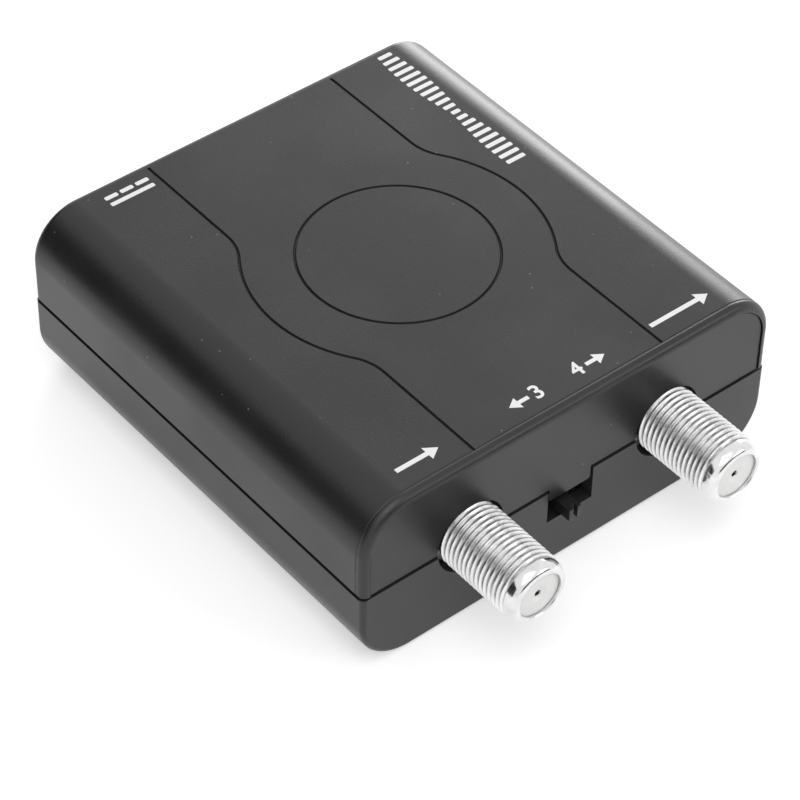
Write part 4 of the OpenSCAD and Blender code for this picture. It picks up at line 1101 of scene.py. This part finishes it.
class MODULATOR_OT_connectors(bpy.types.Operator):
    """Turn and thread the two aerial connectors"""
    bl_idname = "modulator.connectors"
    bl_label = "Aerial Connectors"

    def execute(self, context):
        sizes = context.scene.connector_sizes
        for side in ("rf_in", "rf_out"):
            body = gather(side + "_connector", [self.thread(sizes, side), self.barrel(sizes, side),
                                                self.block(sizes, side)])
            finish_piece(body, "case", [side + "_connector_body"], "connector_nickel", 40)
        return {"FINISHED"}

    def thread(self, sizes, side):
        """A threaded sleeve that lies in the barrel's wall and fades out towards the nose."""
        axis = mount_place(side + "_thread")
        crest = mount_radius(side + "_thread")
        rise = sizes.thread_depth
        root = crest - rise
        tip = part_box(side + "_connector_body")[0].y
        start = case_box()[0].y + sizes.thread_start
        end = tip + sizes.thread_end
        pitch = sizes.pitch
        # One flank of the thread, in shares of the pitch and of the depth
        half = [(0, 0), (0.1, 0), (0.15, 0.07), (0.4, 0.93), (0.45, 1)]
        shares = half + [(1 - along, up) for along, up in reversed(half)]
        outline = [(root + rise * up, along) for along, up in shares]
        form = draw_line(side + "_thread", [(r, 0, along * pitch) for r, along in outline])
        screw = form.modifiers.new("Screw", "SCREW")
        screw.axis = "Z"
        screw.screw_offset = pitch
        screw.iterations = int((start - end) / pitch) + 4
        screw.steps = 72
        screw.render_steps = 72
        screw.use_smooth_shade = False
        activate(form)
        bpy.ops.object.modifier_apply(modifier=screw.name)
        form.rotation_euler = (pi / 2, 0, 0)
        form.location = (axis.x, start + sizes.thread_phase * pitch, axis.z)
        take_place(form, form.name)
        with editing(form):
            bpy.ops.mesh.select_all(action="SELECT")
            bpy.ops.mesh.remove_doubles(threshold=TOUCH / 4)
            slice_at((0, start, 0), Y_AXIS, True)
            slice_at((0, end, 0), -Y_AXIS, True)
            face_outwards()
        fade = sizes.thread_fade
        inner = (sizes.bore + root) / 2
        reach = end - start
        ring = [(inner, OVER), (crest + OVER, OVER), (crest + OVER, reach + fade), (crest, reach + fade),
                (sizes.nose - SINK, reach - SINK), (inner, reach - SINK), (inner, OVER)]
        return combine(form, add_lathe("envelope", (axis.x, start, axis.z), Y_AXIS, ring, 71), "INTERSECT")

    def barrel(self, sizes, side):
        """The smooth nose and the plain tube behind it, bored for the insulator."""
        axis = mount_place(side + "_thread")
        core = mount_radius(side + "_thread") - sizes.thread_depth - sizes.root_gap
        low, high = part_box(side + "_connector_body")
        tip, long = low.y, high.y - low.y - sizes.tube_end
        rim = sizes.bore + (sizes.nose - sizes.bore) * 0.15
        mouth = sizes.bore - sizes.lip
        rounded = [(rim + (sizes.nose - rim) * cos(a), sizes.nose_round * (1 - sin(a)))
                   for a in [radians(7.5 * i) for i in range(13)]]
        slope = sizes.thread_end - sizes.shoulder_lead
        outline = ([(sizes.bore, long), (core, long), (core, slope + sizes.shoulder), (sizes.nose, slope)]
                   + rounded
                   + [(mouth + sizes.lip_round, 0), (mouth, sizes.lip_round), (mouth, sizes.lip_depth),
                      (sizes.bore, sizes.lip_depth), (sizes.bore, long)])
        return add_lathe("barrel", (axis.x, tip, axis.z), Y_AXIS, outline, 96)

    def block(self, sizes, side):
        """The mounting block with its four pegs, bored for the barrel."""
        axis = mount_place(side + "_thread")
        low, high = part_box(side + "_connector_body")
        board_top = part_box("circuit_board")[1].z
        front = high.y - sizes.block_depth
        width = high.x - low.x
        root = mount_radius(side + "_thread") - sizes.thread_depth
        block = add_block("block", (low.x, front, board_top), high)
        with editing(block):
            pick("EDGE", lambda e: not on_plane(e, Z, board_top))
            bevel(sizes.block_round, 3)
        rise = board_top - low.z + OVER
        peg = [(0, 0), (sizes.peg * 0.7, 0), (sizes.peg, sizes.peg_point), (sizes.peg, rise), (0, rise)]
        for across in (-sizes.peg_across, sizes.peg_across):
            for along in (sizes.peg_along, 1 - sizes.peg_along):
                foot = Vector((axis.x + across * width, front + along * sizes.block_depth, low.z))
                join(block, add_lathe("peg", foot, Z_AXIS, peg, 24))
        hole = add_rod("hole", (axis.x, front - OVER, axis.z), (axis.x, high.y + OVER, axis.z),
                       (sizes.bore + root) / 2, 64)
        return cut(block, hole)


class MODULATOR_OT_insulators(bpy.types.Operator):
    """Turn the connectors' white discs and their contacts' leaves"""
    bl_idname = "modulator.insulators"
    bl_label = "Insulators and Contacts"

    def execute(self, context):
        sizes = context.scene.connector_sizes
        for side in ("rf_in", "rf_out"):
            self.insulator(sizes, side)
            self.contact(sizes, side)
        return {"FINISHED"}

    def insulator(self, sizes, side):
        """A domed disc with a dimple and a funnel round the wire's hole, and a sleeve behind it."""
        low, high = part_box(side + "_insulator")
        axis = mount_place(side + "_thread")
        radius = (high.x - low.x) / 2
        contact_low, contact_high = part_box(side + "_contact")
        contact = (contact_high.x - contact_low.x) / 2 + sizes.play
        disc = contact_low.y - low.y
        dome = sizes.disc_dome
        entry = sizes.entry
        inner, steps = entry * 1.9, 10
        face = []
        for i in range(steps + 1):
            r = radius * (1 - i / steps) + inner * i / steps
            face.append((r, dome * (r / radius) ** 2 * 0.8))
        throat = sizes.throat
        dimple = [(entry * 1.5, sizes.dimple_edge), (entry * 1.2, sizes.dimple_floor), (throat, sizes.funnel)]
        outline = ([(radius, high.y - low.y), (radius, dome)] + face + dimple
                   + [(throat, disc), (contact, disc), (contact, high.y - low.y)])
        form = add_lathe(side + "_insulator_disc", (axis.x, low.y, axis.z), Y_AXIS,
                         outline + [outline[0]], 72)
        finish_piece(form, "case", [side + "_insulator"], "insulator_white", 30)

    def contact(self, sizes, side):
        """The contact: its sleeve and tail, and two leaves round a socket for the wire, whose inner wall is
        given painted shade.
        """
        low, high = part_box(side + "_contact")
        axis = mount_place(side + "_thread")
        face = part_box(side + "_insulator")[0].y
        sleeve = (high.x - low.x) / 2
        leaf = sizes.throat - sizes.leaf_play
        front = face + sizes.leaf_depth
        bore = leaf - sizes.leaf_wall
        edge, step = sizes.leaf_wall / 2, low.y - front
        end = step + sizes.sleeve_length
        outline = [(0, sizes.socket_depth), (bore, sizes.socket_depth), (bore, edge), (leaf - edge, 0),
                   (leaf, edge), (leaf, step), (sleeve, step), (sleeve, end), (0, end)]
        form = add_lathe(side + "_contact_leaves", (axis.x, front, axis.z), Y_AXIS, outline, 36)
        slit = add_block("slit", (axis.x - OVER, front - OVER, axis.z - sizes.slit / 2),
                         (axis.x + OVER, front + sizes.slit_length, axis.z + sizes.slit / 2))
        with editing(slit):
            bpy.ops.mesh.select_all(action="SELECT")
            bpy.ops.transform.rotate(value=-sizes.slit_tilt, orient_axis="Y", center_override=axis)
        cut(form, slit)
        tail, rise = sizes.tail, axis.z - low.z
        turn = (axis.x, high.y - tail, axis.z)
        join(form, add_rod("stem", (axis.x, low.y + sizes.sleeve_length - SINK, axis.z), turn, tail, 24),
             add_lathe("tail", (turn[0], turn[1], low.z), Z_AXIS,
                       [(0, 0), (tail * 0.55, 0), (tail, tail * 0.7), (tail, rise),
                        (tail * 0.7, rise + tail * 0.75), (0, rise + tail)], 24))
        finish_piece(form, "case", [side + "_contact"], "lead_tin", 40)
        # Painted shade: the socket's inner wall takes the near-black inner finish
        form.data.materials.append(finishes["case_inside"])
        mouth = front + edge
        for face in form.data.polygons:
            away = (face.center - axis).xz.length
            if mouth < face.center.y < mouth + sizes.socket_depth and away < bore + TOUCH:
                face.material_index = 1


class MODULATOR_OT_switch(bpy.types.Operator):
    """Model the switch's slider with its notched finger knob"""
    bl_idname = "modulator.switch"
    bl_label = "Switch Slider"

    knob_width: length("Knob width", "Width of the finger knob", 1.95 * MM)
    knob_height: length("Knob height", "Height of the finger knob", 1.9 * MM)
    block_depth: length("Block depth", "Depth of the slider's block", 1.3 * MM)
    notch_width: length("Notch width", "Width of the notch in the knob's end", 0.7 * MM)
    notch_depth: length("Notch depth", "Depth of the notch in the knob's end", 0.8 * MM)
    knob_round: length("Knob round", "Radius of the knob's edges", 0.1 * MM)
    notch_round: length("Notch round", "Radius of the notch's inner corners", 0.15 * MM)

    def execute(self, context):
        low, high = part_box("switch_slider")
        middle = (low + high) / 2
        slider = add_block("slider_knob", (low.x, high.y - self.block_depth, low.z), high)
        side, half = self.knob_width / 2, self.knob_height / 2
        knob = add_block("knob", (middle.x - side, low.y, middle.z - half),
                         (middle.x + side, high.y - self.block_depth / 2, middle.z + half))
        with editing(knob):
            pick("EDGE", lambda e: not on_plane(e, Y, high.y - self.block_depth / 2))
            bevel(self.knob_round, 3)
        notch = self.notch_width / 2
        groove = add_block("notch", (middle.x - notch, low.y - OVER, low.z - OVER),
                           (middle.x + notch, low.y + self.notch_depth, high.z + OVER))
        with editing(groove):
            pick("EDGE", lambda e: runs_along(e, Z) and on_plane(e, Y, low.y + self.notch_depth))
            bevel(self.notch_round, 3)
        cut(knob, groove)
        join(slider, knob)
        finish_piece(slider, "channel_slider", ["switch_slider"], "switch_black")
        return {"FINISHED"}


class MODULATOR_OT_inlets(bpy.types.Operator):
    """Fold the sheet shells of the power and video inlets"""
    bl_idname = "modulator.inlets"
    bl_label = "Inlets"

    power_sheet: length("Power sheet", "Thickness of the power inlet's sheet", 0.25 * MM)
    video_sheet: length("Video sheet", "Thickness of the video inlet's sheet", 0.35 * MM)
    leg_width: length("Leg width", "Width of a shell's legs", 0.8 * MM)
    leg_edge: length("Leg edge", "Distance of the outer legs from the board's end", 0.55 * MM)
    slant_share: number("Slant share", "Size of the cut lower corners, as a share of the shell's height", 0.3)
    bend_share: number("Bend share", "Radius of the sheet's bends, as a share of its thickness", 1.4)

    def execute(self, context):
        self.shell("power_inlet_shell", "power_inlet_sheet", self.power_sheet)
        self.shell("video_inlet_shell", "video_inlet_sheet", self.video_sheet)
        return {"FINISHED"}

    def shell(self, node, name, sheet):
        """A folded shell with cut lower corners, open to the back, on four legs."""
        low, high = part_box(node)
        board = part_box("circuit_board")[1]
        height = high.z - board.z
        form = add_block(name, (low.x, low.y, board.z), high)
        with editing(form):
            pick("EDGE", lambda e: runs_along(e, Y) and on_plane(e, Z, board.z))
            bevel(height * self.slant_share, 1)
            pick("EDGE", lambda e: runs_along(e, Y))
            bevel(sheet * self.bend_share, 4)
            pick("FACE", lambda f: on_plane(f, Y, high.y))
            bpy.ops.mesh.inset(thickness=sheet, depth=0)
            bpy.ops.mesh.extrude_region_move(
                TRANSFORM_OT_translate={"value": (0, low.y + 2 * sheet - high.y, 0)})
            pick("EDGE", lambda e: on_plane(e, Y, high.y))
            bevel(sheet * 0.25, 2)
        leg = self.leg_width / 2
        legs = []
        for x in (low.x + sheet / 2, high.x - sheet / 2):
            for y in (low.y + sheet + leg, board.y - self.leg_edge - leg):
                peg = add_block("leg", (x - sheet / 2, y - leg, low.z),
                                (x + sheet / 2, y + leg, board.z + height / 2))
                with editing(peg):
                    pick("EDGE", lambda e: runs_along(e, X) and on_plane(e, Z, low.z))
                    bevel(leg * 0.5, 3)
                legs.append(peg)
        join(form, *legs)
        finish_piece(form, "case", [node], "sheet_steel")


def add_mark(name, outlines, place, turn=0.0):
    """A flat printed mark from outlines drawn about its own middle, laid on the top."""
    top = case_box()[1].z
    curve = flat_curve(name, outlines)
    curve.data.fill_mode = "BOTH"
    curve.data.extrude = PRINT / 2
    curve.rotation_euler = (0, 0, turn)
    curve.location = (place[0], place[1], top - PRINT / 2)
    return to_mesh(curve, name)


def add_number(name, digit, sizes, place):
    """A printed digit with its middle at a place."""
    deselect()
    bpy.ops.object.text_add()
    text = bpy.context.object
    text.data.body = digit
    text.data.size = sizes.digit
    text.data.extrude = PRINT / 2
    text.data.offset = sizes.digit_weight
    text.data.align_x = "CENTER"
    text.data.align_y = "CENTER"
    text.location = (place[0], place[1], case_box()[1].z - PRINT / 2)
    return to_mesh(text, name)


def arrow(long, wide):
    """A plain arrow that points along +X, about its middle."""
    head = wide * 0.75
    shaft = wide * 0.15
    tip = long / 2
    return [(-tip, -shaft), (tip - head, -shaft), (tip - head, -wide / 2), (tip, 0),
            (tip - head, wide / 2), (tip - head, shaft), (-tip, shaft)]


def bar(x, y, wide, high):
    """A rectangle with slightly cut corners, about a point."""
    nick = min(wide, high) * 0.18
    a, b = wide / 2, high / 2
    return [(x - a + nick, y - b), (x + a - nick, y - b), (x + a, y - b + nick), (x + a, y + b - nick),
            (x + a - nick, y + b), (x - a + nick, y + b), (x - a, y + b - nick), (x - a, y - b + nick)]


class MODULATOR_OT_prints(bpy.types.Operator):
    """Print plain marks on the top: numbers, arrows, a direct-current sign and a row of bars"""
    bl_idname = "modulator.prints"
    bl_label = "Printed Marks"

    bars: IntProperty(name="Bars", description="Number of bars in the long row", default=21, min=3)

    def execute(self, context):
        sizes = context.scene.print_sizes
        short = [arrow(*sizes.short_arrow)]
        marks = [
            add_number("three", "3", sizes, sizes.three),
            add_mark("to_three", short, sizes.to_three, pi),
            add_number("four", "4", sizes, sizes.four),
            add_mark("to_four", short, sizes.to_four),
            add_mark("inwards", [arrow(*sizes.in_arrow)], sizes.inwards),
            add_mark("outwards", [arrow(*sizes.out_arrow)], sizes.outwards),
            add_mark("direct_current", self.direct_current(sizes), sizes.current, pi),
            add_mark("bars", self.bar_row(sizes), sizes.row, -pi / 2),
        ]
        piece = gather("printed_marks", marks)
        finish_piece(piece, "case", [], "print_white")
        return {"FINISHED"}

    def direct_current(self, sizes):
        """The sign for direct current: a long bar over three short ones."""
        across, up = sizes.bar_step
        return [bar(0, up, *sizes.long_bar)] + [bar(x * across, -up, *sizes.short_bar) for x in (-1, 0, 1)]

    def bar_row(self, sizes):
        """Upright bars whose heights rise and fall like a slow wave."""
        last = self.bars - 1
        rows = []
        for i in range(self.bars):
            wave = abs(sin(pi * sizes.row_waves * i / last + sizes.row_phase))
            height = sizes.row_low + (sizes.row_high - sizes.row_low) * wave
            rows.append(bar((i / last - 0.5) * sizes.row_length, 0, sizes.row_bar, height))
        return rows


class MODULATOR_OT_stage(bpy.types.Operator):
    """Lay the floor, and set the lamps and the camera"""
    bl_idname = "modulator.stage"
    bl_label = "Stage"

    def execute(self, context):
        settings = context.scene.stage_settings
        self.floor(settings)
        self.surroundings(context, settings)
        self.flag("left_flag", settings.left_flag, *settings.left_flag_size)
        self.flag("front_flag", settings.front_flag, *settings.front_flag_size)
        self.lamps(settings)
        self.camera(context, settings)
        context.scene.view_settings.view_transform = "Standard"
        return {"FINISHED"}

    def floor(self, settings):
        """A plain pale floor that looks white to the camera and keeps the shadow."""
        deselect()
        bpy.ops.mesh.primitive_plane_add(size=settings.floor_size, location=(0, 0, -settings.floor_drop))
        floor = take_place(bpy.context.object, "floor")
        material, tree = new_material("floor_paper")
        tree.nodes.clear()
        diffuse = add_node(tree, "ShaderNodeBsdfDiffuse", {"Color": (0.8, 0.8, 0.8, 1)})
        glow = add_node(tree, "ShaderNodeEmission", {"Color": (1, 1, 1, 1), "Strength": settings.paper})
        seen = self.seen_rays(tree)
        lit = add_node(tree, "ShaderNodeAddShader", {0: diffuse.outputs[0], 1: glow.outputs[0]})
        mix = add_node(tree, "ShaderNodeMixShader", {0: seen, 1: diffuse.outputs[0], 2: lit.outputs[0]})
        add_node(tree, "ShaderNodeOutputMaterial", {"Surface": mix.outputs[0]})
        floor.data.materials.append(material)

    def flag(self, name, place, wide, high):
        """A black card, unseen by the camera, that the plastic and the plating mirror."""
        place = Vector(place)
        turn = (-place).to_track_quat("Z", "Y").to_euler()
        deselect()
        bpy.ops.mesh.primitive_plane_add(size=1, location=place, rotation=turn)
        card = bpy.context.object
        card.scale = (wide, high, 1)
        take_place(card, name)
        card.data.materials.append(start_finish(name, (0.01, 0.01, 0.01), 0.9)[0])
        card.visible_camera = False
        card.visible_diffuse = False
        card.visible_shadow = False

    def seen_rays(self, tree):
        """One for rays that show the background: seen, mirrored or through glass."""
        path = add_node(tree, "ShaderNodeLightPath").outputs
        both = reckoned(tree, "MAXIMUM", path["Is Camera Ray"], path["Is Glossy Ray"])
        return reckoned(tree, "MAXIMUM", both, path["Is Transmission Ray"])

    def surroundings(self, context, settings):
        """An even white background, dimmer for the light that it gives."""
        world = bpy.data.worlds.new("surroundings")
        context.scene.world = world
        world.use_nodes = True
        tree = world.node_tree
        tree.nodes.clear()
        seen = self.seen_rays(tree)
        tone = blended(tree, seen, (settings.ambient,) * 3 + (1,), (1, 1, 1, 1))
        background = add_node(tree, "ShaderNodeBackground", {"Color": tone, "Strength": 1.0})
        add_node(tree, "ShaderNodeOutputWorld", {"Surface": background.outputs[0]})

    def lamps(self, settings):
        """A wide soft lamp overhead, a weaker one in front and a low one behind at the right."""
        self.lamp("key_lamp", settings.key_place, settings.key_size, settings.key_power)
        self.lamp("fill_lamp", settings.fill_place, settings.fill_size, settings.fill_power)
        self.lamp("rim_lamp", settings.rim_place, settings.rim_size, settings.rim_power)

    def lamp(self, name, place, size, power):
        """A square soft lamp that faces the case."""
        data = bpy.data.lights.new(name, "AREA")
        data.size = size
        data.energy = power
        lamp = bpy.data.objects.new(name, data)
        bpy.context.collection.objects.link(lamp)
        lamp.location = place
        lamp.rotation_euler = (-Vector(place)).to_track_quat("-Z", "Y").to_euler()

    def camera(self, context, settings):
        """The camera at the photograph's viewing angle."""
        a, e, turn = settings.azimuth, settings.elevation, settings.roll
        back = Vector((sin(a) * cos(e), -cos(a) * cos(e), sin(e)))
        level = Z_AXIS.cross(back).normalized()
        upright = back.cross(level)
        right = level * cos(turn) + upright * sin(turn)
        up = upright * cos(turn) - level * sin(turn)
        aim = right * settings.aim_right + up * settings.aim_up + Z_AXIS * settings.aim_height
        data = bpy.data.cameras.new("camera")
        data.lens = settings.lens
        data.sensor_width = 36
        data.clip_start = 0.01
        camera = bpy.data.objects.new("camera", data)
        context.collection.objects.link(camera)
        rotation = Matrix((right, up, back)).transposed()
        camera.matrix_world = Matrix.Translation(aim + back * settings.distance) @ rotation.to_4x4()
        context.scene.camera = camera


class MODULATOR_PT_panel(bpy.types.Panel):
    """The sidebar's list of pieces"""
    bl_label = "Channel Modulator"
    bl_idname = "MODULATOR_PT_panel"
    bl_space_type = "VIEW_3D"
    bl_region_type = "UI"
    bl_category = "Modulator"

    def draw(self, context):
        for step in STEPS:
            self.layout.operator(step.bl_idname)
        for group in GROUPS:
            settings = getattr(context.scene, group)
            box = self.layout.box()
            for key in settings.__annotations__:
                box.prop(settings, key)


GROUPS = {
    "case_sizes": CaseSizes,
    "groove_sizes": GrooveSizes,
    "connector_sizes": ConnectorSizes,
    "print_sizes": PrintSizes,
    "finish_colours": FinishColours,
    "stage_settings": StageSettings,
}
STEPS = (
    MODULATOR_OT_finishes,
    MODULATOR_OT_upper_cover,
    MODULATOR_OT_lower_cover,
    MODULATOR_OT_case_screws,
    MODULATOR_OT_connectors,
    MODULATOR_OT_insulators,
    MODULATOR_OT_switch,
    MODULATOR_OT_inlets,
    MODULATOR_OT_prints,
    MODULATOR_OT_stage,
)


def register():
    """Registers the groups, the operators and the panel."""
    for name, group in GROUPS.items():
        bpy.utils.register_class(group)
        setattr(bpy.types.Scene, name, PointerProperty(type=group))
    for step in STEPS:
        bpy.utils.register_class(step)
    bpy.utils.register_class(MODULATOR_PT_panel)


def unregister():
    """Removes what register added."""
    bpy.utils.unregister_class(MODULATOR_PT_panel)
    for step in reversed(STEPS):
        bpy.utils.unregister_class(step)
    for name, group in GROUPS.items():
        delattr(bpy.types.Scene, name)
        bpy.utils.unregister_class(group)


def main():
    """Makes every piece in order."""
    register()
    deselect()
    bpy.ops.modulator.finishes()
    bpy.ops.modulator.upper_cover()
    bpy.ops.modulator.lower_cover()
    bpy.ops.modulator.case_screws()
    bpy.ops.modulator.connectors()
    bpy.ops.modulator.insulators()
    bpy.ops.modulator.switch()
    bpy.ops.modulator.inlets()
    bpy.ops.modulator.prints()
    bpy.ops.modulator.stage()


if __name__ == "__main__":
    main()
